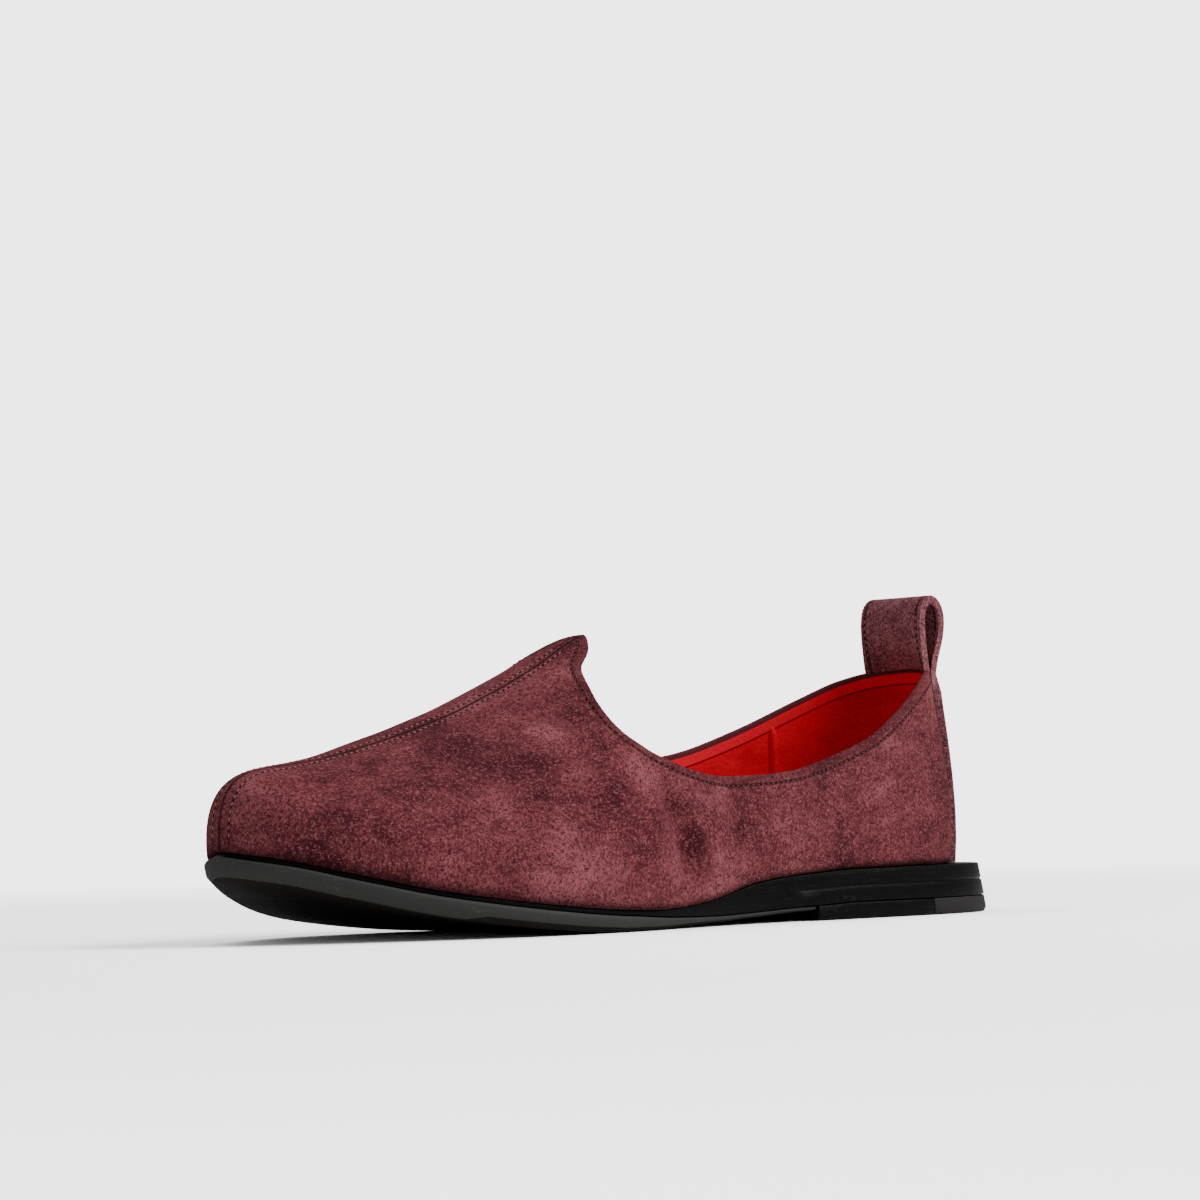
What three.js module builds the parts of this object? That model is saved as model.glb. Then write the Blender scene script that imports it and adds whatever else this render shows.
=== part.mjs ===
// Low slip-on shoe of suede on a thin black sole, left foot, standing empty on its sole.
// Millimetres. +X points to the toe, +Y to the wearer's left, +Z up.
import * as THREE from 'three';
import { mergeVertices } from 'three/addons/utils/BufferGeometryUtils.js';

// Driving dimensions
const SOLE_LENGTH = 290;
const BALL_WIDTH = 96;
const INSTEP_HEIGHT = 85.5;
const TOE_SPRING = 20.3;
const WAIST_RISE = 2.9;
const OUTSOLE_THICKNESS = 5.2;
const RAND_THICKNESS = 1.2;
const RAND_RECESS = 2.2;
const LIFT_HEIGHT = 5.0;
const SEAT_HEIGHT = 15.2;
const HEEL_FLARE = 2.5;
const HEEL_MARGIN = 11;
const GROOVE_DEPTH = 0.5;
const EDGE_BEVEL = 2.2;
const LIFT_CHAMFER = 0.9;
const TIP_LENGTH = 44;
const HEEL_LENGTH = 95;
const WALL = 2.4;
const INSOLE_THICKNESS = 3;
const STRAP_WIDTH = 26;
const STRAP_THICKNESS = 2.6;
const LOOP_RISE = 22;
const LOOP_DEPTH = 8.6;

// Clearances between pieces
const GAP = 0.3;
const INSOLE_CLEARANCE = 0.5;

// How finely the forms are cut
const SOLE_CUTS = 60;
const WALL_CUTS = 10;
const STRAP_CUTS = 6;
const STRAP_ROWS = 9;
const LOOP_CUTS = 3;

// Outline of the sole seen from above, from heel to toe. Shares: at of SOLE_LENGTH; outer and
// inner (half widths on the outer and inner side of the foot) of BALL_WIDTH; margin from the
// sole's edge to the upper, of HEEL_MARGIN; recess of RAND_RECESS; flare of HEEL_FLARE.
const OUTLINE = [
  { at: 0.0, outer: 0.0, inner: 0.0, margin: 1.0, recess: 0, flare: 1.0 },
  { at: 0.01, outer: 0.133, inner: 0.133, margin: 0.96, recess: 0, flare: 1.0 },
  { at: 0.035, outer: 0.229, inner: 0.229, margin: 0.84, recess: 0, flare: 0.95 },
  { at: 0.08, outer: 0.307, inner: 0.307, margin: 0.62, recess: 0, flare: 0.8 },
  { at: 0.14, outer: 0.349, inner: 0.349, margin: 0.42, recess: 0, flare: 0.6 },
  { at: 0.22, outer: 0.36, inner: 0.354, margin: 0.3, recess: 0, flare: 0.45 },
  { at: 0.32, outer: 0.362, inner: 0.323, margin: 0.12, recess: 0, flare: 0.35 },
  { at: 0.42, outer: 0.372, inner: 0.3, margin: 0.04, recess: 0, flare: 0 },
  { at: 0.52, outer: 0.424, inner: 0.34, margin: 0.06, recess: 0.25, flare: 0 },
  { at: 0.62, outer: 0.49, inner: 0.427, margin: 0.14, recess: 1, flare: 0 },
  { at: 0.7, outer: 0.505, inner: 0.49, margin: 0.16, recess: 1, flare: 0 },
  { at: 0.78, outer: 0.472, inner: 0.493, margin: 0.17, recess: 1, flare: 0 },
  { at: 0.86, outer: 0.386, inner: 0.422, margin: 0.08, recess: 1, flare: 0 },
  { at: 0.93, outer: 0.267, inner: 0.292, margin: 0.08, recess: 1, flare: 0 },
  { at: 0.97, outer: 0.174, inner: 0.185, margin: 0.08, recess: 1, flare: 0 },
  { at: 0.992, outer: 0.086, inner: 0.09, margin: 0.08, recess: 1, flare: 0 },
  { at: 1.0, outer: 0.0, inner: 0.0, margin: 0.08, recess: 1, flare: 0 },
];

// Levels of the sole's layers along its length. Shares: spring of TOE_SPRING and waist of
// WAIST_RISE lift the underside; thick of OUTSOLE_THICKNESS; lift of LIFT_HEIGHT; seat says how
// far the bed has risen from the thin rand of the forefoot to SEAT_HEIGHT.
const LEVELS = [
  { at: 0.0, spring: 0, waist: 1, thick: 0.27, lift: 1, seat: 1 },
  { at: 0.1, spring: 0, waist: 1, thick: 0.27, lift: 1, seat: 0.99 },
  { at: 0.27, spring: 0, waist: 1, thick: 0.27, lift: 1, seat: 0.95 },
  { at: 0.33, spring: 0, waist: 1, thick: 0.27, lift: 0.86, seat: 0.87 },
  { at: 0.41, spring: 0, waist: 0.66, thick: 0.29, lift: 0.86, seat: 0.69 },
  { at: 0.459, spring: 0, waist: 0.41, thick: 0.33, lift: 0.86, seat: 0.417 },
  { at: 0.483, spring: 0, waist: 0.34, thick: 0.36, lift: 0.86, seat: 0.29 },
  { at: 0.531, spring: 0, waist: 0.2, thick: 0.48, lift: 0.86, seat: 0.13 },
  { at: 0.583, spring: 0, waist: 0, thick: 0.71, lift: 0.86, seat: 0.03 },
  { at: 0.628, spring: 0, waist: 0, thick: 0.87, lift: 0.86, seat: 0 },
  { at: 0.669, spring: 0.025, waist: 0, thick: 0.94, lift: 0.86, seat: 0 },
  { at: 0.717, spring: 0.084, waist: 0, thick: 0.98, lift: 0.86, seat: 0 },
  { at: 0.762, spring: 0.158, waist: 0, thick: 1.0, lift: 0.86, seat: 0 },
  { at: 0.838, spring: 0.325, waist: 0, thick: 1.03, lift: 0.86, seat: 0 },
  { at: 0.903, spring: 0.557, waist: 0, thick: 1.0, lift: 0.86, seat: 0 },
  { at: 0.959, spring: 0.793, waist: 0, thick: 0.96, lift: 0.86, seat: 0 },
  { at: 1.0, spring: 1, waist: 0, thick: 0.94, lift: 0.86, seat: 0 },
];

// Vault of the upper over the forefoot and on over the instep: a profile runs from the sole's edge
// at foot up to the ridge line. Shares: foot and x of SOLE_LENGTH, z of INSTEP_HEIGHT; low and high
// are the fullness above the lower edge and below the ridge. Degrees: heading of the profile at the
// ridge, from straight ahead to sideways; drop below level there; tilt of the crown towards the
// outer side; lean of the wall outwards at the foot.
const VAULT = [
  { foot: 1, x: 0.938, z: 0.565, heading: 0, drop: 5, tilt: 0, lean: 4, low: 0.75, high: 0.43 },
  { foot: 0.992, x: 0.938, z: 0.565, heading: 30, drop: 5, tilt: 2, lean: 4, low: 0.72, high: 0.42 },
  { foot: 0.965, x: 0.936, z: 0.566, heading: 56, drop: 4, tilt: 6, lean: 5, low: 0.66, high: 0.4 },
  { foot: 0.92, x: 0.925, z: 0.57, heading: 74, drop: 3, tilt: 9, lean: 5, low: 0.6, high: 0.38 },
  { foot: 0.86, x: 0.872, z: 0.594, heading: 84, drop: 2, tilt: 12, lean: 6, low: 0.54, high: 0.36 },
  { foot: 0.79, x: 0.797, z: 0.652, heading: 88, drop: 0, tilt: 19, lean: 6, low: 0.5, high: 0.34 },
  { foot: 0.735, x: 0.72, z: 0.73, heading: 90, drop: -1, tilt: 22, lean: 6, low: 0.5, high: 0.31 },
  { foot: 0.69, x: 0.655, z: 0.813, heading: 90, drop: -1, tilt: 22, lean: 7, low: 0.5, high: 0.29 },
  { foot: 0.65, x: 0.6, z: 0.898, heading: 90, drop: 0, tilt: 20, lean: 7, low: 0.49, high: 0.28 },
  { foot: 0.61, x: 0.557, z: 0.978, heading: 90, drop: 1, tilt: 17, lean: 8, low: 0.46, high: 0.28 },
  { foot: 0.57, x: 0.515, z: 1.035, heading: 90, drop: 2, tilt: 14, lean: 8, low: 0.42, high: 0.28 },
  { foot: 0.53, x: 0.47, z: 1.075, heading: 90, drop: 4, tilt: 10, lean: 9, low: 0.39, high: 0.28 },
  { foot: 0.48, x: 0.42, z: 1.1, heading: 90, drop: 6, tilt: 7, lean: 10, low: 0.37, high: 0.28 },
];

// How the vault is cut at the throat. A line starts at foot and ends below the ridge, on the profile
// at, at a height that is a share of that profile. Lines with height 1 end on the centre seam.
const THROAT = [
  { foot: 1, at: 1, height: 1, cuts: 2 },
  { foot: 0.992, at: 0.992, height: 1, cuts: 3 },
  { foot: 0.965, at: 0.965, height: 1, cuts: 3 },
  { foot: 0.92, at: 0.92, height: 1, cuts: 3 },
  { foot: 0.86, at: 0.86, height: 1, cuts: 3 },
  { foot: 0.81, at: 0.8, height: 1, cuts: 3 },
  { foot: 0.78, at: 0.745, height: 1, cuts: 3 },
  { foot: 0.752, at: 0.69, height: 1, cuts: 3 },
  { foot: 0.731, at: 0.635, height: 1, cuts: 2 },
  { foot: 0.716, at: 0.5885, height: 1, cuts: 2 },
  { foot: 0.709, at: 0.597, height: 0.95, cuts: 2 },
  { foot: 0.702, at: 0.6045, height: 0.915, cuts: 2 },
  { foot: 0.695, at: 0.6135, height: 0.892, cuts: 2 },
  { foot: 0.688, at: 0.6205, height: 0.872, cuts: 2 },
  { foot: 0.68, at: 0.626, height: 0.836, cuts: 2 },
  { foot: 0.67, at: 0.6291, height: 0.768, cuts: 2 },
  { foot: 0.66, at: 0.6302, height: 0.693, cuts: 2 },
  { foot: 0.65, at: 0.628, height: 0.631, cuts: 2 },
  { foot: 0.64, at: 0.6224, height: 0.571, cuts: 2 },
  { foot: 0.628, at: 0.6117, height: 0.512, cuts: 2 },
  { foot: 0.61, at: 0.5935, height: 0.459, cuts: 2 },
  { foot: 0.595, at: 0.582, height: 0.434, cuts: 2 },
  { foot: 0.575, at: 0.5665, height: 0.41, cuts: 0 },
];

// Quarters round the heel. A profile runs from the sole's edge at foot up to the collar. Shares:
// foot and x of SOLE_LENGTH; outerY and innerY of BALL_WIDTH and outerZ and innerZ of INSTEP_HEIGHT,
// on the outer and inner side of the foot. The other columns are as in the vault.
const QUARTERS = [
  { foot: 0.575, x: 0.545, outerY: 0.384, innerY: 0.332, outerZ: 0.572, innerZ: 0.59, heading: 60,
    drop: 64, lean: 8, low: 0.42, high: 0.22, cuts: 2 },
  { foot: 0.553, x: 0.524, outerY: 0.386, innerY: 0.33, outerZ: 0.544, innerZ: 0.558, heading: 68,
    drop: 68, lean: 9, low: 0.41, high: 0.24, cuts: 2 },
  { foot: 0.527, x: 0.5028, outerY: 0.382, innerY: 0.328, outerZ: 0.525, innerZ: 0.545,
    heading: 75, drop: 72, lean: 10, low: 0.4, high: 0.26, cuts: 2 },
  { foot: 0.493, x: 0.4741, outerY: 0.37, innerY: 0.324, outerZ: 0.508, innerZ: 0.545, heading: 82,
    drop: 76, lean: 11, low: 0.4, high: 0.29, cuts: 3 },
  { foot: 0.449, x: 0.4345, outerY: 0.35, innerY: 0.32, outerZ: 0.5, innerZ: 0.552, heading: 87,
    drop: 79, lean: 12, low: 0.39, high: 0.31, cuts: 3 },
  { foot: 0.395, x: 0.3879, outerY: 0.336, innerY: 0.318, outerZ: 0.503, innerZ: 0.564,
    heading: 90, drop: 80, lean: 12, low: 0.38, high: 0.32, cuts: 3 },
  { foot: 0.335, x: 0.3431, outerY: 0.33, innerY: 0.32, outerZ: 0.517, innerZ: 0.58, heading: 90,
    drop: 81, lean: 11, low: 0.38, high: 0.33, cuts: 3 },
  { foot: 0.27, x: 0.3, outerY: 0.325, innerY: 0.322, outerZ: 0.548, innerZ: 0.605, heading: 92,
    drop: 82, lean: 10, low: 0.38, high: 0.33, cuts: 3 },
  { foot: 0.2, x: 0.22, outerY: 0.303, innerY: 0.3, outerZ: 0.63, innerZ: 0.688, heading: 96,
    drop: 83, lean: 10, low: 0.38, high: 0.33, cuts: 3 },
  { foot: 0.13, x: 0.15, outerY: 0.255, innerY: 0.253, outerZ: 0.745, innerZ: 0.786, heading: 106,
    drop: 83, lean: 9, low: 0.38, high: 0.33, cuts: 3 },
  { foot: 0.075, x: 0.102, outerY: 0.202, innerY: 0.202, outerZ: 0.835, innerZ: 0.853,
    heading: 126, drop: 84, lean: 8, low: 0.37, high: 0.33, cuts: 3 },
  { foot: 0.032, x: 0.07, outerY: 0.138, innerY: 0.138, outerZ: 0.88, innerZ: 0.884, heading: 148,
    drop: 85, lean: 7, low: 0.36, high: 0.33, cuts: 3 },
  { foot: 0.01, x: 0.056, outerY: 0.075, innerY: 0.075, outerZ: 0.892, innerZ: 0.892, heading: 166,
    drop: 86, lean: 6, low: 0.36, high: 0.33, cuts: 2 },
  { foot: 0, x: 0.0515, outerY: 0, innerY: 0, outerZ: 0.896, innerZ: 0.896, heading: 180, drop: 86,
    lean: 5, low: 0.36, high: 0.33, cuts: 0 },
];

// Course of the pull loop above the collar. Shares: rise of LOOP_RISE; back of LOOP_DEPTH behind
// (negative) or ahead of the collar's outer edge. level turns from 0, round like the heel, to 1,
// straight across.
const LOOP = [
  { rise: 0.2, back: -0.24, level: 0.25 },
  { rise: 0.48, back: -0.35, level: 0.8 },
  { rise: 0.74, back: -0.36, level: 1 },
  { rise: 0.92, back: -0.19, level: 1 },
  { rise: 1.0, back: 0.16, level: 1 },
  { rise: 0.92, back: 0.5, level: 1 },
  { rise: 0.74, back: 0.65, level: 1 },
  { rise: 0.48, back: 0.62, level: 0.9 },
  { rise: 0.25, back: 0.42, level: 0.5 },
  { rise: 0.1, back: 0.24, level: 0.15 },
];

// Rounded and bevelled side of the outsole: share of its thickness, then inset as a share of
// EDGE_BEVEL.
const OUTSOLE_SIDE = [
  { height: 0, inset: 1 },
  { height: 0.3, inset: 0.25 },
  { height: 0.84, inset: 0 },
  { height: 1, inset: 0.25 },
];

// Side of the midsole: share of its height, then how much of the groove it holds.
const MIDSOLE_SIDE = [
  { height: 0, groove: 0 },
  { height: 0.45, groove: 0 },
  { height: 0.5, groove: 1 },
  { height: 0.55, groove: 0 },
  { height: 1, groove: 0 },
];

const BREAST_AT = (HEEL_LENGTH + GAP) / SOLE_LENGTH;
// Share of its height that a line of the throat climbs before it bends.
const LINE_RISE = 0.92;
const radians = THREE.MathUtils.degToRad;
const lerp = THREE.MathUtils.lerp;

// Angle that spreads places along the length so that both round ends are cut finely.
function spread(at) {
  return Math.acos(THREE.MathUtils.clamp(1 - 2 * at, -1, 1));
}

function unspread(angle) {
  return (1 - Math.cos(angle)) / 2;
}

const QUARTER_ANGLE = spread(QUARTERS[0].foot);

function alongX(at) {
  return (at - 0.5) * SOLE_LENGTH;
}

// Slope at a row of a table, kept from overshooting its neighbours.
function rowSlope(before, after, stepBefore, stepAfter) {
  if (before * after <= 0) {
    return 0;
  }
  const early = 2 * stepAfter + stepBefore;
  const late = stepAfter + 2 * stepBefore;
  return (early + late) / (early / before + late / after);
}

// Smooth value of one column of a table at an angle of spread.
function smoothColumn(table, place, column) {
  const xs = table.map((row) => spread(row[place]));
  const ys = table.map((row) => row[column]);
  if (xs[0] > xs[xs.length - 1]) {
    xs.reverse();
    ys.reverse();
  }
  const last = xs.length - 1;
  const rises = xs.slice(1).map((x, i) => (ys[i + 1] - ys[i]) / (x - xs[i]));
  const slopes = ys.map((y, i) => {
    if (i === 0) {
      return rises[0];
    }
    if (i === last) {
      return rises[last - 1];
    }
    return rowSlope(rises[i - 1], rises[i], xs[i] - xs[i - 1], xs[i + 1] - xs[i]);
  });
  return (angle) => {
    let i = 0;
    while (i < last - 1 && angle > xs[i + 1]) {
      i += 1;
    }
    const step = xs[i + 1] - xs[i];
    const t = THREE.MathUtils.clamp((angle - xs[i]) / step, 0, 1);
    const a = (1 + 2 * t) * (1 - t) * (1 - t) * ys[i];
    const b = t * (1 - t) * (1 - t) * step * slopes[i];
    const c = t * t * (3 - 2 * t) * ys[i + 1];
    const d = t * t * (t - 1) * step * slopes[i + 1];
    return a + b + c + d;
  };
}

function smoothTable(table, place) {
  const columns = Object.keys(table[0]).filter((name) => name !== place);
  return Object.fromEntries(columns.map((name) => [name, smoothColumn(table, place, name)]));
}

const outline = smoothTable(OUTLINE, 'at');
const levels = smoothTable(LEVELS, 'at');
const vault = smoothTable(VAULT, 'foot');
const throat = smoothTable(THROAT, 'foot');
const quarters = smoothTable(QUARTERS, 'foot');

// side is 1 on the outer side of the foot (+Y) and -1 on the inner side.
function halfWidth(angle, side) {
  return BALL_WIDTH * (side > 0 ? outline.outer(angle) : outline.inner(angle));
}

function edgeNormal(angle, side) {
  const step = 0.01;
  const from = Math.max(0, angle - step);
  const to = Math.min(Math.PI, angle + step);
  const dx = alongX(unspread(to)) - alongX(unspread(from));
  const dy = halfWidth(to, side) - halfWidth(from, side);
  if (angle < step) {
    return new THREE.Vector2(-1, 0);
  }
  if (angle > Math.PI - step) {
    return new THREE.Vector2(1, 0);
  }
  return new THREE.Vector2(-dy, dx * side).normalize();
}

// Point of the sole's edge moved inwards by inset.
function edgePoint(angle, side, inset) {
  const normal = edgeNormal(angle, side);
  const x = alongX(unspread(angle)) - normal.x * inset;
  const y = side * halfWidth(angle, side) - normal.y * inset;
  return new THREE.Vector2(x, side * Math.max(0, side * y));
}

function angleAtX(x) {
  return spread(x / SOLE_LENGTH + 0.5);
}

function undersideAt(x) {
  const angle = angleAtX(x);
  return TOE_SPRING * levels.spring(angle) + WAIST_RISE * levels.waist(angle);
}

// Top of the tread layer: the outsole, and behind the breast the heel lift.
function treadTopAt(x) {
  const angle = angleAtX(x);
  if (angle < spread(BREAST_AT)) {
    return LIFT_HEIGHT * levels.lift(angle);
  }
  return undersideAt(x) + OUTSOLE_THICKNESS * levels.thick(angle);
}

// Level on which upper and insole stand.
function bedAt(x) {
  const rand = treadTopAt(x) + GAP + RAND_THICKNESS;
  return lerp(rand, SEAT_HEIGHT, levels.seat(angleAtX(x)));
}

function flareAt(angle, z) {
  return HEEL_FLARE * outline.flare(angle) * (1 - z / SEAT_HEIGHT);
}

function cornerKey(point) {
  return point.toArray().map((n) => Math.round(n * 1e3)).join(' ');
}

// Collects triangles, leaves out those that have shrunk to nothing, and merges shared corners.
class Skin {
  constructor() {
    this.numbers = [];
  }

  triangle(a, b, c) {
    const close = 1e-5;
    if (a.distanceTo(b) < close || b.distanceTo(c) < close || c.distanceTo(a) < close) {
      return;
    }
    this.numbers.push(...a.toArray(), ...b.toArray(), ...c.toArray());
  }

  quad(a, b, c, d) {
    if (a.distanceTo(c) <= b.distanceTo(d)) {
      this.triangle(a, b, c);
      this.triangle(a, c, d);
    } else {
      this.triangle(a, b, d);
      this.triangle(b, c, d);
    }
  }

  // Outward direction at every corner, by the corner's key.
  normals() {
    const found = new Map();
    for (let i = 0; i < this.numbers.length; i += 9) {
      const corners = [0, 3, 6].map((k) => new THREE.Vector3().fromArray(this.numbers, i + k));
      const first = corners[1].clone().sub(corners[0]);
      const facing = first.cross(corners[2].clone().sub(corners[0]));
      corners.map(cornerKey).forEach((key) => {
        found.set(key, (found.get(key) || new THREE.Vector3()).add(facing));
      });
    }
    found.forEach((normal) => normal.normalize());
    return found;
  }

  geometry() {
    const soup = new THREE.BufferGeometry();
    soup.setAttribute('position', new THREE.Float32BufferAttribute(this.numbers, 3));
    const merged = mergeVertices(soup, 1e-4);
    merged.computeVertexNormals();
    return merged;
  }
}

// Solid through closed loops of equally many points, run outwards side first. The first half of a
// loop faces the second, so its ends are closed by strips between them.
function loftLoops(loops) {
  const skin = new Skin();
  const count = loops[0].length;
  for (let i = 0; i < loops.length - 1; i += 1) {
    for (let k = 0; k < count; k += 1) {
      const next = (k + 1) % count;
      skin.quad(loops[i][k], loops[i][next], loops[i + 1][next], loops[i + 1][k]);
    }
  }
  const first = loops[0];
  const last = loops[loops.length - 1];
  for (let k = 0; k < count / 2 - 1; k += 1) {
    const mate = count - 1 - k;
    skin.quad(first[k], first[mate], first[mate - 1], first[k + 1]);
    skin.quad(last[k], last[k + 1], last[mate - 1], last[mate]);
  }
  return skin.geometry();
}

// Layer of the sole between two places along its length. ring(angle, side, k) gives the point of
// the k-th ring, from the bottom up.
function soleLayer(fromAt, toAt, rings, ring) {
  const loops = [];
  const start = spread(fromAt);
  const end = spread(toAt);
  const cuts = Math.max(4, Math.round((SOLE_CUTS * (end - start)) / Math.PI));
  for (let i = 0; i <= cuts; i += 1) {
    const angle = lerp(start, end, i / cuts);
    const outer = [];
    const inner = [];
    for (let k = 0; k < rings; k += 1) {
      outer.push(ring(angle, 1, k));
      inner.unshift(ring(angle, -1, k));
    }
    loops.push([...outer, ...inner]);
  }
  return loftLoops(loops);
}

// A layer cut square across at x, so that its end is flat.
function squareEnd(point, limitX) {
  return new THREE.Vector3(limitX, point.y, point.z);
}

function outsoleGeometry() {
  const breastX = alongX(BREAST_AT);
  const breastAngle = spread(BREAST_AT);
  return soleLayer(BREAST_AT, 1, OUTSOLE_SIDE.length, (angle, side, k) => {
    const row = OUTSOLE_SIDE[k];
    const edge = edgePoint(angle, side, EDGE_BEVEL * row.inset);
    const x = Math.max(edge.x, breastX);
    const z = lerp(undersideAt(x), treadTopAt(x), row.height);
    const point = new THREE.Vector3(x, edge.y, z);
    return angle <= breastAngle ? squareEnd(point, breastX) : point;
  });
}

function midsoleGeometry() {
  const heelAngle = spread(BREAST_AT);
  const waistAngle = spread(BREAST_AT + 0.04);
  return soleLayer(0, 1, MIDSOLE_SIDE.length, (angle, side, k) => {
    const row = MIDSOLE_SIDE[k];
    const grooved = 1 - THREE.MathUtils.smoothstep(angle, heelAngle, waistAngle);
    const inset = RAND_RECESS * outline.recess(angle) + GROOVE_DEPTH * row.groove * grooved;
    const level = lerp(LIFT_HEIGHT, SEAT_HEIGHT, row.height);
    const edge = edgePoint(angle, side, inset - flareAt(angle, level));
    const z = lerp(treadTopAt(edge.x) + GAP, bedAt(edge.x), row.height);
    return new THREE.Vector3(edge.x, edge.y, z);
  });
}

// Rings of the heel lift: height as a share of its own, then inset as a share of LIFT_CHAMFER.
const LIFT_SIDE = [
  { height: 0, inset: 1 },
  { height: 0.25, inset: 0 },
  { height: 1, inset: 0 },
];

function liftRing(angle, side, k, limitX, limitAngle) {
  const row = LIFT_SIDE[k];
  const height = LIFT_HEIGHT * row.height;
  const edge = edgePoint(angle, side, LIFT_CHAMFER * row.inset - flareAt(angle, height));
  const z = treadTopAt(edge.x) * row.height;
  const point = new THREE.Vector3(edge.x, edge.y, z);
  return Math.abs(angle - limitAngle) < 1e-6 ? squareEnd(point, limitX) : point;
}

function heelTipGeometry() {
  const endAt = TIP_LENGTH / SOLE_LENGTH;
  return soleLayer(0, endAt, LIFT_SIDE.length, (angle, side, k) =>
    liftRing(angle, side, k, alongX(endAt), spread(endAt))
  );
}

function heelLiftGeometry() {
  const startAt = (TIP_LENGTH + GAP) / SOLE_LENGTH;
  const endAt = HEEL_LENGTH / SOLE_LENGTH;
  return soleLayer(startAt, endAt, LIFT_SIDE.length, (angle, side, k) => {
    const rear = Math.abs(angle - spread(startAt)) < 1e-6;
    const limitAt = rear ? startAt : endAt;
    return liftRing(angle, side, k, alongX(limitAt), spread(limitAt));
  });
}

function insoleGeometry() {
  return soleLayer(0, 1, 2, (angle, side, k) => {
    const inset = HEEL_MARGIN * outline.margin(angle) + WALL + INSOLE_CLEARANCE;
    const edge = edgePoint(angle, side, inset);
    const z = bedAt(edge.x) + GAP + k * INSOLE_THICKNESS;
    return new THREE.Vector3(edge.x, edge.y, z);
  });
}

function rowAt(columns, angle) {
  return Object.fromEntries(Object.keys(columns).map((name) => [name, columns[name](angle)]));
}

// Point of a profile, v from the lower edge (0) to its top (1).
function profilePoint(angle, side, v, row, top) {
  const normal = edgeNormal(angle, side);
  const edge = edgePoint(angle, side, HEEL_MARGIN * outline.margin(angle));
  const foot = new THREE.Vector3(edge.x, edge.y, bedAt(edge.x) + GAP);
  const lean = radians(row.lean);
  const climb = row.low * (top.z - foot.z);
  const lower = new THREE.Vector3(
    foot.x + normal.x * Math.sin(lean) * climb,
    foot.y + normal.y * Math.sin(lean) * climb,
    foot.z + Math.cos(lean) * climb
  );
  const heading = radians(row.heading);
  const drop = radians(row.drop + side * (row.tilt || 0));
  const reach = row.high * top.distanceTo(foot);
  const upper = new THREE.Vector3(
    top.x + Math.cos(heading) * Math.cos(drop) * reach,
    top.y + side * Math.sin(heading) * Math.cos(drop) * reach,
    top.z - Math.sin(drop) * reach
  );
  return new THREE.CubicBezierCurve3(foot, lower, upper, top).getPoint(v);
}

function vaultPoint(angle, side, v) {
  const row = rowAt(vault, angle);
  const top = new THREE.Vector3(alongX(row.x), 0, INSTEP_HEIGHT * row.z);
  return profilePoint(angle, side, v, row, top);
}

function quarterPoint(angle, side, v) {
  const row = rowAt(quarters, angle);
  const y = side * BALL_WIDTH * (side > 0 ? row.outerY : row.innerY);
  const z = INSTEP_HEIGHT * (side > 0 ? row.outerZ : row.innerZ);
  return profilePoint(angle, side, v, row, new THREE.Vector3(alongX(row.x), y, z));
}

// Outer face of the upper: angle runs along the lower edge, v from that edge (0) to the top (1).
// In front of the quarters the lines bend round the throat.
function upperPoint(angle, side, v) {
  if (angle < QUARTER_ANGLE) {
    return quarterPoint(angle, side, v);
  }
  const turned = lerp(angle, spread(throat.at(angle)), v * v);
  const height = throat.height(angle) * (2 * v * (1 - v) * LINE_RISE + v * v);
  return vaultPoint(turned, side, height);
}

// Angles of the lines, toe to heel, with the cuts that each row asks for.
function lineAngles() {
  const angles = [];
  [THROAT, QUARTERS].forEach((table) => {
    table.forEach((row, i) => {
      for (let k = 0; k < row.cuts; k += 1) {
        angles.push(lerp(spread(row.foot), spread(table[i + 1].foot), k / row.cuts));
      }
    });
  });
  angles.push(0);
  return angles;
}

// Hollow upper: the outer face, the same face moved inwards by the wall, and the two rims.
function upperGeometry() {
  const angles = lineAngles();
  const grids = [1, -1].map((side) =>
    angles.map((angle) => {
      const line = [];
      for (let j = 0; j <= WALL_CUTS; j += 1) {
        line.push(upperPoint(angle, side, j / WALL_CUTS));
      }
      return line;
    })
  );
  const outer = new Skin();
  grids.forEach((grid, s) => {
    for (let i = 0; i < grid.length - 1; i += 1) {
      for (let j = 0; j < WALL_CUTS; j += 1) {
        const corners = [grid[i][j], grid[i][j + 1], grid[i + 1][j + 1], grid[i + 1][j]];
        outer.quad(...(s === 0 ? corners.reverse() : corners));
      }
    }
  });
  const normals = outer.normals();
  const inwards = (point, j) => {
    const normal = normals.get(cornerKey(point)).clone();
    if (j === 0) {
      normal.setZ(0).normalize();
    }
    const moved = point.clone().addScaledVector(normal, -WALL);
    if (j === 0) {
      moved.z = bedAt(moved.x) + GAP;
    }
    return moved;
  };
  const wall = new Skin();
  wall.numbers.push(...outer.numbers);
  const peak = angles.findIndex((angle) => throat.height(angle) < 1) - 1;
  grids.forEach((grid, s) => {
    const inner = grid.map((line) => line.map((point, j) => inwards(point, j)));
    const put = (a, b, c, d) => (s === 0 ? wall.quad(a, b, c, d) : wall.quad(d, c, b, a));
    for (let i = 0; i < grid.length - 1; i += 1) {
      for (let j = 0; j < WALL_CUTS; j += 1) {
        put(inner[i][j], inner[i][j + 1], inner[i + 1][j + 1], inner[i + 1][j]);
      }
      put(grid[i][0], inner[i][0], inner[i + 1][0], grid[i + 1][0]);
      if (i >= peak) {
        const top = WALL_CUTS;
        put(inner[i][top], grid[i][top], grid[i + 1][top], inner[i + 1][top]);
      }
    }
  });
  return wall.geometry();
}

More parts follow.
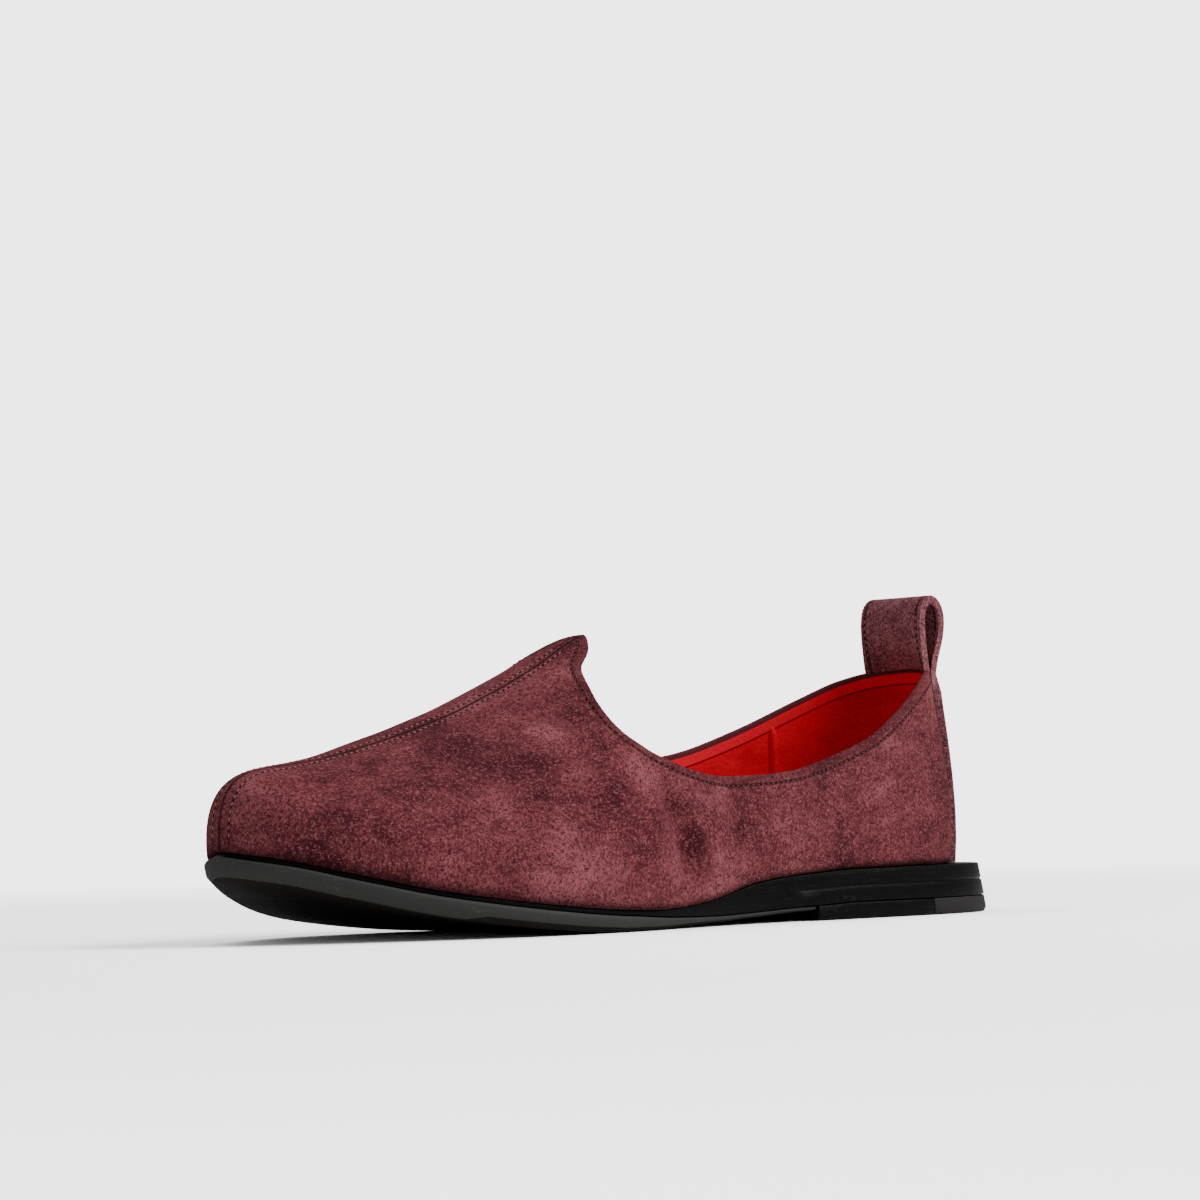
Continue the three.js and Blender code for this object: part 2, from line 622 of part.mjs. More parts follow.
// Point of the upper's outer face at a given distance across the heel.
function heelPoint(across, v) {
  const side = across < 0 ? -1 : 1;
  let low = 0;
  let high = spread(0.2);
  for (let i = 0; i < 40; i += 1) {
    const middle = (low + high) / 2;
    if (Math.abs(upperPoint(middle, side, v).y) < Math.abs(across)) {
      low = middle;
    } else {
      high = middle;
    }
  }
  return upperPoint((low + high) / 2, side, v);
}

function heelNormal(across, v) {
  const step = 0.02;
  const wide = 1;
  const up = heelPoint(across, Math.min(1, v + step)).sub(heelPoint(across, Math.max(0, v - step)));
  const over = heelPoint(across + wide, v).sub(heelPoint(across - wide, v));
  return up.cross(over).normalize();
}

// Back strap and pull loop in one strip: up the heel, over, and down on to the collar's rim.
function strapGeometry() {
  const columns = [];
  for (let j = 0; j <= STRAP_CUTS; j += 1) {
    columns.push(STRAP_WIDTH * (j / STRAP_CUTS - 0.5));
  }
  const collar = columns.map((across) => heelPoint(across, 1));
  const middleX = collar.reduce((sum, point) => sum + point.x, 0) / collar.length;
  const middleZ = heelPoint(0, 1).z;
  const tracks = columns.map((across, j) => {
    const knots = LOOP.map((row) => new THREE.Vector3(
      lerp(collar[j].x, middleX, row.level) + LOOP_DEPTH * row.back,
      across,
      lerp(collar[j].z, middleZ, row.level) + LOOP_RISE * row.rise
    ));
    const seated = GAP + STRAP_THICKNESS / 2;
    knots.unshift(new THREE.Vector3(collar[j].x - seated, across, collar[j].z));
    knots.push(new THREE.Vector3(collar[j].x + WALL / 2, across, collar[j].z + GAP));
    return new THREE.CatmullRomCurve3(knots, false, 'centripetal');
  });
  const stations = [];
  for (let i = 0; i < STRAP_ROWS; i += 1) {
    const v = i / STRAP_ROWS;
    stations.push(columns.map((across) => {
      const base = heelPoint(across, v);
      const normal = heelNormal(across, v);
      if (i === 0) {
        normal.setZ(0).normalize();
      }
      return {
        inside: base.clone().addScaledVector(normal, GAP),
        outside: base.clone().addScaledVector(normal, GAP + STRAP_THICKNESS),
      };
    }));
  }
  const steps = LOOP_CUTS * (LOOP.length + 1);
  for (let i = 0; i <= steps; i += 1) {
    const t = i / steps;
    stations.push(tracks.map((track) => {
      const point = track.getPoint(t);
      const run = track.getTangent(t);
      const out = new THREE.Vector3(-run.z, 0, run.x).normalize();
      if (i === steps) {
        out.set(1, 0, 0);
      }
      return {
        inside: point.clone().addScaledVector(out, -STRAP_THICKNESS / 2),
        outside: point.clone().addScaledVector(out, STRAP_THICKNESS / 2),
      };
    }));
  }
  const loops = stations.map((station) => [
    ...station.map((pair) => pair.inside),
    ...station.map((pair) => pair.outside).reverse(),
  ]);
  return loftLoops(loops);
}

function piece(name, geometry, colour, roughness) {
  const material = new THREE.MeshStandardMaterial({ color: colour, roughness, metalness: 0 });
  const mesh = new THREE.Mesh(geometry, material);
  mesh.name = name;
  return mesh;
}

const shoe = new THREE.Group();
shoe.add(piece('upper', upperGeometry(), 0x763a3f, 0.95));
shoe.add(piece('back_strap', strapGeometry(), 0x694144, 0.95));
shoe.add(piece('insole', insoleGeometry(), 0x8c0a10, 0.9));
shoe.add(piece('midsole', midsoleGeometry(), 0x141414, 0.4));
shoe.add(piece('outsole', outsoleGeometry(), 0x3c3e40, 0.6));
shoe.add(piece('heel_lift', heelLiftGeometry(), 0x151515, 0.4));
shoe.add(piece('heel_tip', heelTipGeometry(), 0x373435, 0.7));

// The origin is below the middle of the whole shoe, on the floor.
const box = new THREE.Box3().setFromObject(shoe);
const middle = box.getCenter(new THREE.Vector3());
shoe.position.set(-middle.x, -middle.y, -box.min.z);
shoe.updateMatrixWorld(true);

export default shoe;
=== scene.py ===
"""Dressed model of a low slip-on shoe of suede, left foot, standing empty on its sole."""
import logging
import math
from dataclasses import dataclass, field
from enum import Enum
from typing import Callable, Sequence

import bmesh
import bpy
import numpy as np
from mathutils import Matrix, Vector
from mathutils.bvhtree import BVHTree


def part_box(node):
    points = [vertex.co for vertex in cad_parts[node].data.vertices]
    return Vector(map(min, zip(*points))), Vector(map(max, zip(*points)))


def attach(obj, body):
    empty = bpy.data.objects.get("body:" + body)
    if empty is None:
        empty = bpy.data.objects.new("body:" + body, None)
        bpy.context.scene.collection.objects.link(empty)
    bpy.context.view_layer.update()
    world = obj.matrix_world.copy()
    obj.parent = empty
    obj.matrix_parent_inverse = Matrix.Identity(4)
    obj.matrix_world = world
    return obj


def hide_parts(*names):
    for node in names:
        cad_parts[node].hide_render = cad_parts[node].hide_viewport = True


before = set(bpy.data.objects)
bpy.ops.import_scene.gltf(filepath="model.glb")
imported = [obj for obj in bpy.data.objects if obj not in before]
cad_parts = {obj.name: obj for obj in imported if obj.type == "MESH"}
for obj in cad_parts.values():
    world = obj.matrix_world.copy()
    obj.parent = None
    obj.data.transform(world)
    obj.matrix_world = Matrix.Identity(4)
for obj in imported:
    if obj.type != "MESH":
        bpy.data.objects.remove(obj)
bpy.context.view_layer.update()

LOG = logging.getLogger("shoe")
MM = 0.001
Array = np.ndarray
Colour = tuple[float, float, float]
Span = tuple[float, float]
Path = tuple[Array, Array]
Socket = bpy.types.NodeSocket
Tree = bpy.types.NodeTree
Material = bpy.types.Material
Piece = bpy.types.Object


class Side(Enum):
    """Side of the foot; the value is the sign of Y on it."""

    OUTER = 1
    INNER = -1


class Part(Enum):
    """Places of the upper's two materials."""

    SUEDE = 0
    LINING = 1


OUTLINE = (
    ("at", "outer", "inner", "margin"),
    (0.0, 0.0, 0.0, 1.0),
    (0.01, 0.133, 0.133, 0.96),
    (0.035, 0.229, 0.229, 0.84),
    (0.08, 0.307, 0.307, 0.62),
    (0.14, 0.349, 0.349, 0.42),
    (0.22, 0.36, 0.354, 0.3),
    (0.32, 0.362, 0.323, 0.12),
    (0.42, 0.372, 0.3, 0.04),
    (0.52, 0.424, 0.34, 0.06),
    (0.62, 0.49, 0.427, 0.14),
    (0.7, 0.505, 0.49, 0.16),
    (0.78, 0.472, 0.493, 0.17),
    (0.86, 0.386, 0.422, 0.08),
    (0.93, 0.267, 0.292, 0.08),
    (0.97, 0.174, 0.185, 0.08),
    (0.992, 0.086, 0.09, 0.08),
    (1.0, 0.0, 0.0, 0.08),
)
LEVELS = (
    ("at", "spring", "waist", "thick", "lift", "seat"),
    (0.0, 0, 1, 0.27, 1, 1),
    (0.1, 0, 1, 0.27, 1, 0.99),
    (0.27, 0, 1, 0.27, 1, 0.95),
    (0.33, 0, 1, 0.27, 0.86, 0.87),
    (0.41, 0, 0.66, 0.29, 0.86, 0.69),
    (0.459, 0, 0.41, 0.33, 0.86, 0.417),
    (0.483, 0, 0.34, 0.36, 0.86, 0.29),
    (0.531, 0, 0.2, 0.48, 0.86, 0.13),
    (0.583, 0, 0, 0.71, 0.86, 0.03),
    (0.628, 0, 0, 0.87, 0.86, 0),
    (0.669, 0.025, 0, 0.94, 0.86, 0),
    (0.717, 0.084, 0, 0.98, 0.86, 0),
    (0.762, 0.158, 0, 1.0, 0.86, 0),
    (0.838, 0.325, 0, 1.03, 0.86, 0),
    (0.903, 0.557, 0, 1.0, 0.86, 0),
    (0.959, 0.793, 0, 0.96, 0.86, 0),
    (1.0, 1, 0, 0.94, 0.86, 0),
)
VAULT = (
    ("foot", "x", "z", "heading", "drop", "tilt", "lean", "low", "high"),
    (1, 0.938, 0.565, 0, 5, 0, 4, 0.75, 0.43),
    (0.992, 0.938, 0.565, 30, 5, 2, 4, 0.72, 0.42),
    (0.965, 0.936, 0.566, 56, 4, 6, 5, 0.66, 0.4),
    (0.92, 0.925, 0.57, 74, 3, 9, 5, 0.6, 0.38),
    (0.86, 0.872, 0.594, 84, 2, 12, 6, 0.54, 0.36),
    (0.79, 0.797, 0.652, 88, 0, 19, 6, 0.5, 0.34),
    (0.735, 0.72, 0.73, 90, -1, 22, 6, 0.5, 0.31),
    (0.69, 0.655, 0.813, 90, -1, 22, 7, 0.5, 0.29),
    (0.65, 0.6, 0.898, 90, 0, 20, 7, 0.49, 0.28),
    (0.61, 0.557, 0.978, 90, 1, 17, 8, 0.46, 0.28),
    (0.57, 0.515, 1.035, 90, 2, 14, 8, 0.42, 0.28),
    (0.53, 0.47, 1.075, 90, 4, 10, 9, 0.39, 0.28),
    (0.48, 0.42, 1.1, 90, 6, 7, 10, 0.37, 0.28),
)
THROAT = (
    ("foot", "at", "height", "cuts"),
    (1, 1, 1, 2),
    (0.992, 0.992, 1, 3),
    (0.965, 0.965, 1, 3),
    (0.92, 0.92, 1, 3),
    (0.86, 0.86, 1, 3),
    (0.81, 0.8, 1, 3),
    (0.78, 0.745, 1, 3),
    (0.752, 0.69, 1, 3),
    (0.731, 0.635, 1, 2),
    (0.716, 0.5885, 1, 2),
    (0.709, 0.597, 0.95, 2),
    (0.702, 0.6045, 0.915, 2),
    (0.695, 0.6135, 0.892, 2),
    (0.688, 0.6205, 0.872, 2),
    (0.68, 0.626, 0.836, 2),
    (0.67, 0.6291, 0.768, 2),
    (0.66, 0.6302, 0.693, 2),
    (0.65, 0.628, 0.631, 2),
    (0.64, 0.6224, 0.571, 2),
    (0.628, 0.6117, 0.512, 2),
    (0.61, 0.5935, 0.459, 2),
    (0.595, 0.582, 0.434, 2),
    (0.575, 0.5665, 0.41, 0),
)
QUARTERS = (
    (
        "foot", "x", "outerY", "innerY", "outerZ", "innerZ",
        "heading", "drop", "lean", "low", "high", "cuts",
    ),
    (0.575, 0.545, 0.384, 0.332, 0.572, 0.59, 60, 64, 8, 0.42, 0.22, 2),
    (0.553, 0.524, 0.386, 0.33, 0.544, 0.558, 68, 68, 9, 0.41, 0.24, 2),
    (0.527, 0.5028, 0.382, 0.328, 0.525, 0.545, 75, 72, 10, 0.4, 0.26, 2),
    (0.493, 0.4741, 0.37, 0.324, 0.508, 0.545, 82, 76, 11, 0.4, 0.29, 3),
    (0.449, 0.4345, 0.35, 0.32, 0.5, 0.552, 87, 79, 12, 0.39, 0.31, 3),
    (0.395, 0.3879, 0.336, 0.318, 0.503, 0.564, 90, 80, 12, 0.38, 0.32, 3),
    (0.335, 0.3431, 0.33, 0.32, 0.517, 0.58, 90, 81, 11, 0.38, 0.33, 3),
    (0.27, 0.3, 0.325, 0.322, 0.548, 0.605, 92, 82, 10, 0.38, 0.33, 3),
    (0.2, 0.22, 0.303, 0.3, 0.63, 0.688, 96, 83, 10, 0.38, 0.33, 3),
    (0.13, 0.15, 0.255, 0.253, 0.745, 0.786, 106, 83, 9, 0.38, 0.33, 3),
    (0.075, 0.102, 0.202, 0.202, 0.835, 0.853, 126, 84, 8, 0.37, 0.33, 3),
    (0.032, 0.07, 0.138, 0.138, 0.88, 0.884, 148, 85, 7, 0.36, 0.33, 3),
    (0.01, 0.056, 0.075, 0.075, 0.892, 0.892, 166, 86, 6, 0.36, 0.33, 2),
    (0, 0.0515, 0, 0, 0.896, 0.896, 180, 86, 5, 0.36, 0.33, 0),
)


def spread(at: Array | float) -> Array:
    """Turn shares of the length into angles that cut both round ends finely.

    Args:
        at: Shares of the sole's length, 0 at the heel and 1 at the toe.

    Returns:
        Angles from 0 to pi.
    """
    return np.arccos(np.clip(1 - 2 * np.asarray(at, float), -1, 1))


def smooth_column(xs: Array, ys: Array) -> Callable[[Array], Array]:
    """Smooth curve through a table's column that never overshoots a row.

    Args:
        xs: Places of the rows.
        ys: Values of the column.

    Returns:
        A function from places to values.
    """
    if xs[0] > xs[-1]:
        xs, ys = xs[::-1], ys[::-1]
    step, rise = np.diff(xs), np.diff(ys) / np.diff(xs)
    slopes = np.zeros(len(xs))
    slopes[0], slopes[-1] = rise[0], rise[-1]
    for i in range(1, len(xs) - 1):
        if rise[i - 1] * rise[i] > 0:
            early, late = 2 * step[i] + step[i - 1], step[i] + 2 * step[i - 1]
            slopes[i] = (early + late) / (early / rise[i - 1] + late / rise[i])

    def value(place: Array) -> Array:
        """Read the column between its rows.

        Args:
            place: Places to read it at.

        Returns:
            Its values there.
        """
        place = np.asarray(place, float)
        i = np.clip(np.searchsorted(xs, place) - 1, 0, len(xs) - 2)
        t = np.clip((place - xs[i]) / step[i], 0, 1)
        start = (1 + 2 * t) * (1 - t) ** 2 * ys[i] + t * (1 - t) ** 2 * step[i] * slopes[i]
        end = t * t * (3 - 2 * t) * ys[i + 1] + t * t * (t - 1) * step[i] * slopes[i + 1]
        return start + end

    return value


def smooth_table(table: Sequence[Sequence]) -> dict[str, Callable[[Array], Array]]:
    """Smooth functions for the columns of a table whose first row names them.

    Args:
        table: Rows of numbers under a row of names; the first column is a share of the length.

    Returns:
        One function of the angle for each column.
    """
    rows = np.array(table[1:], float)
    places = spread(rows[:, 0])
    return {name: smooth_column(places, rows[:, k + 1]) for k, name in enumerate(table[0][1:])}


@dataclass
class Last:
    """Form of the upper, in millimetres, with the sole's middle at x 0."""

    sole_length: float = 290.0
    ball_width: float = 96.0
    instep_height: float = 85.5
    toe_spring: float = 20.3
    waist_rise: float = 2.9
    outsole_thickness: float = 5.2
    rand_thickness: float = 1.2
    lift_height: float = 5.0
    seat_height: float = 15.2
    heel_margin: float = 11.0
    heel_length: float = 95.3
    gap: float = 0.3
    line_rise: float = 0.92

    def __post_init__(self) -> None:
        """Prepare the smooth tables.

        They are kept by the names of the tables they come from.
        """
        self.outline = smooth_table(OUTLINE)
        self.levels = smooth_table(LEVELS)
        self.vault = smooth_table(VAULT)
        self.throat = smooth_table(THROAT)
        self.quarters = smooth_table(QUARTERS)

    def half_width(self, angle: Array, side: Side) -> Array:
        """Half width of the sole at each angle on one side."""
        return self.ball_width * self.outline[side.name.lower()](angle)

    def along(self, angle: Array) -> Array:
        """Place along the shoe at each angle."""
        return -np.cos(angle) / 2 * self.sole_length

    def edge_normal(self, angle: Array, side: Side) -> Array:
        """Outward direction of the sole's edge in plan.

        Args:
            angle: Angles along the edge.
            side: Side of the foot.

        Returns:
            Unit vectors, one row of two numbers for each angle.
        """
        step = 0.01
        low, high = np.maximum(0, angle - step), np.minimum(np.pi, angle + step)
        dx = self.along(high) - self.along(low)
        dy = self.half_width(high, side) - self.half_width(low, side)
        normal = np.stack([-dy, dx * side.value], -1)
        normal = np.where((angle < step)[..., None], (-1.0, 0.0), normal)
        normal = np.where((angle > np.pi - step)[..., None], (1.0, 0.0), normal)
        return normal / np.linalg.norm(normal, axis=-1, keepdims=True)

    def bed(self, x: Array) -> Array:
        """Level on which the upper stands.

        Args:
            x: Places along the shoe.

        Returns:
            Heights above the floor.
        """
        angle = spread(x / self.sole_length + 0.5)
        names = ("spring", "waist", "thick", "lift", "seat")
        spring, waist, thick, lift, seat = (self.levels[name](angle) for name in names)
        tread = self.toe_spring * spring + self.waist_rise * waist + self.outsole_thickness * thick
        heel = angle < spread(self.heel_length / self.sole_length)
        rand = np.where(heel, self.lift_height * lift, tread) + self.gap + self.rand_thickness
        return rand + (self.seat_height - rand) * seat

    def profile(self, table: dict[str, Callable], angle: Array, side: Side, v: Array) -> Array:
        """Points on profiles of the upper.

        Args:
            table: The vault over forefoot and instep, or the quarters round the heel.
            angle: Angle of each profile's foot.
            side: Side of the foot.
            v: Place on the profile, 0 at the lower edge and 1 at its top.

        Returns:
            Points, in millimetres.
        """
        row = {name: column(angle) for name, column in table.items()}
        key = side.name.lower()
        top_y = side.value * self.ball_width * row.get(key + "Y", np.zeros_like(angle))
        top_z = self.instep_height * row.get(key + "Z", row.get("z"))
        top = np.stack([(row["x"] - 0.5) * self.sole_length, top_y, top_z], -1)
        normal = self.edge_normal(angle, side)
        inset = self.heel_margin * self.outline["margin"](angle)
        x = self.along(angle) - normal[..., 0] * inset
        y = side.value * self.half_width(angle, side) - normal[..., 1] * inset
        y = side.value * np.maximum(0, side.value * y)
        foot = np.stack([x, y, self.bed(x) + self.gap], -1)
        lean = np.radians(row["lean"])
        climb = row["low"] * (top[..., 2] - foot[..., 2])
        out = np.sin(lean) * climb
        lower = foot + np.stack([normal[..., 0] * out, normal[..., 1] * out, np.cos(lean) * climb], -1)
        heading = np.radians(row["heading"])
        drop = np.radians(row["drop"] + side.value * row.get("tilt", 0))
        reach = row["high"] * np.linalg.norm(top - foot, axis=-1)
        level = np.cos(drop) * reach
        across = side.value * np.sin(heading) * level
        ahead = np.stack([np.cos(heading) * level, across, -np.sin(drop) * reach], -1)
        v = v[..., None]
        near = (1 - v) ** 3 * foot + 3 * v * (1 - v) ** 2 * lower
        return near + 3 * v * v * (1 - v) * (top + ahead) + v**3 * top

    def lines(self, angles: Array, side: Side, v: Array) -> Array:
        """Grid of points on the outer face.

        Args:
            angles: Angles of the lines, from toe to heel.
            side: Side of the foot.
            v: Places on each line, from 0 to 1.

        Returns:
            Points in an array of lines by places by three.
        """
        angle, place = np.meshgrid(angles, v, indexing="ij")
        turned = angle + (spread(self.throat["at"](angle)) - angle) * place**2
        height = self.throat["height"](angle) * (2 * place * (1 - place) * self.line_rise + place**2)
        front = self.profile(self.vault, turned, side, height)
        rear = self.profile(self.quarters, angle, side, place)
        quarter = angle < spread(QUARTERS[1][0]) - 1e-9
        return np.where(quarter[..., None], rear, front)

    def line_angles(self, finer: int) -> Array:
        """Angles of the lines, each stretch of the tables cut finer times as often.

        Args:
            finer: Number of lines for each cut in the tables.

        Returns:
            Angles from toe to heel.
        """
        angles: list[float] = []
        for table in (THROAT, QUARTERS):
            rows = table[1:]
            for row, after in zip(rows, rows[1:]):
                cuts = row[-1] * finer
                angles.extend(np.linspace(spread(row[0]), spread(after[0]), cuts, endpoint=False))
        return np.array(angles + [0.0])


@dataclass(frozen=True)
class Crease:
    """A soft trough or ridge of the suede, in millimetres; depth is negative for a ridge."""

    start: tuple[float, float, float]
    end: tuple[float, float, float]
    width: float
    depth: float


@dataclass(frozen=True)
class NapAndPaintedLightPatch:
    """A round patch of painted light and shade, with some nap tone: lighter, or darker where the tone is
    negative; millimetres.
    """

    centre: tuple[float, float, float]
    radius: float
    tone: float


class Nodes:
    """Short hand for building a node tree."""

    def __init__(self, tree: Tree) -> None:
        """Keep the tree that nodes are added to."""
        self.tree = tree

    def add(self, kind: str, inputs: dict | None = None, **settings: object) -> bpy.types.Node:
        """Add a node.

        Args:
            kind: Type name of the node.
            inputs: Values or output sockets by input name or number.
            settings: Properties of the node.

        Returns:
            The new node.
        """
        node = self.tree.nodes.new(kind)
        for name, value in settings.items():
            setattr(node, name, value)
        for name, value in (inputs or {}).items():
            self.feed(node.inputs[name], value)
        return node

    def feed(self, socket: Socket, value: object) -> None:
        """Link an output socket to an input, or set the input's own value.

        Args:
            socket: The input.
            value: An output socket, or a constant.
        """
        if isinstance(value, Socket):
            self.tree.links.new(value, socket)
        else:
            socket.default_value = value

    def maths(self, how: str, *values: object) -> Socket:
        """Result of a Math node with these inputs."""
        return self.add("ShaderNodeMath", dict(enumerate(values)), operation=how).outputs[0]

    def times(self, value: object, factor: object) -> Socket:
        """Product of two values."""
        return self.maths("MULTIPLY", value, factor)

    def attribute(self, name: str) -> Socket:
        """Value that the mesh holds at each point under a name."""
        return self.add("ShaderNodeAttribute", attribute_name=name).outputs["Fac"]

    def where(self) -> Socket:
        """Coordinates on the piece, in metres."""
        return self.add("ShaderNodeTexCoord").outputs["Object"]

    def noise(self, where: object, scale: object, detail: float = 4.0, rough: float = 0.55) -> Socket:
        """Value of a noise pattern, with its scale in cycles per metre."""
        inputs = {"Vector": where, "Scale": scale, "Detail": detail, "Roughness": rough}
        return self.add("ShaderNodeTexNoise", inputs).outputs[0]

    def ramp(self, value: object, low: float, high: float) -> Socket:
        """Smooth step of a value from 0 at low to 1 at high."""
        inputs = {"Value": value, "From Min": low, "From Max": high}
        return self.add("ShaderNodeMapRange", inputs, interpolation_type="SMOOTHSTEP").outputs[0]

    def near(self, value: object, middle: float, width: float) -> Socket:
        """Mask that is 1 where a value equals middle and 0 from width away."""
        off = self.maths("ABSOLUTE", self.maths("SUBTRACT", value, middle))
        return self.ramp(off, width, 0.0)

    def mix(self, share: object, first: object, second: object) -> Socket:
        """Mix two colours.

        Args:
            share: Share of the second colour.
            first: Colour where the share is 0.
            second: Colour where the share is 1.

        Returns:
            The mixed colour.
        """
        node = self.add("ShaderNodeMix", data_type="RGBA")
        for place, value in ((0, share), (6, first), (7, second)):
            self.feed(node.inputs[place], (*value, 1) if isinstance(value, tuple) else value)
        return node.outputs[2]

    def cover(self, colour: object, mask: object, share: float, other: object) -> Socket:
        """Colour with a share of another laid over it where a mask is 1."""
        return self.mix(self.times(mask, share), colour, other)

    def emboss(self, shader: bpy.types.Node, height: Socket, strength: float, reach: float) -> None:
        """Turn a shader's normals by a height pattern whose reach is in metres."""
        inputs = {"Height": height, "Strength": strength, "Distance": reach}
        self.feed(shader.inputs["Normal"], self.add("ShaderNodeBump", inputs).outputs[0])


def darker(colour: Colour, share: float) -> Colour:
    """Colour at a share of its brightness."""
    return tuple(share * c for c in colour)


def set_inputs(shader: bpy.types.Node, values: dict[str, object]) -> None:
    """Set constants on a shader's own sockets."""
    for name, value in values.items():
        shader.inputs[name].default_value = value


def new_piece(name: str, data: bpy.types.ID) -> Piece:
    """Make an object and put it into the scene.

    Args:
        name: Name of the object.
        data: Its mesh, camera or light.

    Returns:
        The object.
    """
    piece = bpy.data.objects.new(name, data)
    bpy.context.scene.collection.objects.link(piece)
    return piece


def group_sockets(group: Tree, ins: dict[str, str], outs: dict[str, str]) -> None:
    """Give a node group its named sockets.

    Args:
        group: The group.
        ins: Socket types by input name.
        outs: Socket types by output name.
    """
    for names, way in ((ins, "INPUT"), (outs, "OUTPUT")):
        for name, kind in names.items():
            group.interface.new_socket(name=name, in_out=way, socket_type=kind)


@dataclass(frozen=True)
class Nap:
    """Pattern of a napped surface: scales in cycles per metre, shares from 0 to 1."""

    warp_scale: float = 60.0
    warp_reach: float = 0.012
    streak_scale: float = 170.0
    streak_share: float = 0.38
    streak_height: float = 0.35
    coarse_scale: float = 800.0
    coarse_share: float = 0.4

    def group(self) -> Tree:
        """Build the node group: cloudy patches, streaks of the nap and fine grain.

        Returns:
            The group, with outputs Cloud, Grain and Height.
        """
        group = bpy.data.node_groups.new("nap", "ShaderNodeTree")
        number = "NodeSocketFloat"
        ins = {"Where": "NodeSocketVector", "Patch": number, "Fine": number}
        group_sockets(group, ins, dict.fromkeys(("Cloud", "Grain", "Height"), number))
        book = Nodes(group)
        given = book.add("NodeGroupInput")
        out = book.add("NodeGroupOutput")
        where, patch, fine = (given.outputs[name] for name in ins)
        warp_inputs = {"Vector": where, "Scale": self.warp_scale, "Detail": 3.0}
        warp = book.add("ShaderNodeTexNoise", warp_inputs).outputs["Color"]
        push = book.add("ShaderNodeVectorMath", {0: warp}, operation="SCALE")
        push.inputs["Scale"].default_value = self.warp_reach
        bent = book.add("ShaderNodeVectorMath", {0: where, 1: push.outputs[0]}, operation="ADD").outputs[0]
        turned = {"Vector": bent, "Scale": (0.5, 1.0, 1.6), "Rotation": (0.4, 0.5, 0.2)}
        stretched = book.add("ShaderNodeMapping", turned).outputs[0]
        streak = book.noise(stretched, self.streak_scale, 6.0, 0.7)
        large = book.times(book.noise(bent, patch, 5.0, 0.62), 1 - self.streak_share)
        small = book.times(book.noise(where, fine, 3.0, 0.75), 1 - self.coarse_share)
        coarse = book.times(book.noise(where, self.coarse_scale, 4.0, 0.8), self.coarse_share)
        cloud = book.maths("ADD", large, book.times(streak, self.streak_share))
        grain = book.maths("ADD", small, coarse)
        height = book.maths("ADD", grain, book.times(streak, self.streak_height))
        for name, value in (("Cloud", cloud), ("Grain", grain), ("Height", height)):
            book.feed(out.inputs[name], value)
        return group


def new_material(name: str, slot: str) -> tuple[Material, Nodes, bpy.types.Node]:
    """Empty node material with a Principled shader.

    Args:
        name: Name of the material.
        slot: Material slot of the record that it stands for.

    Returns:
        The material, a helper for its tree, and the shader.
    """
    material = bpy.data.materials.new(name)
    material["slot"] = slot
    material.use_nodes = True
    book = Nodes(material.node_tree)
    return material, book, material.node_tree.nodes["Principled BSDF"]


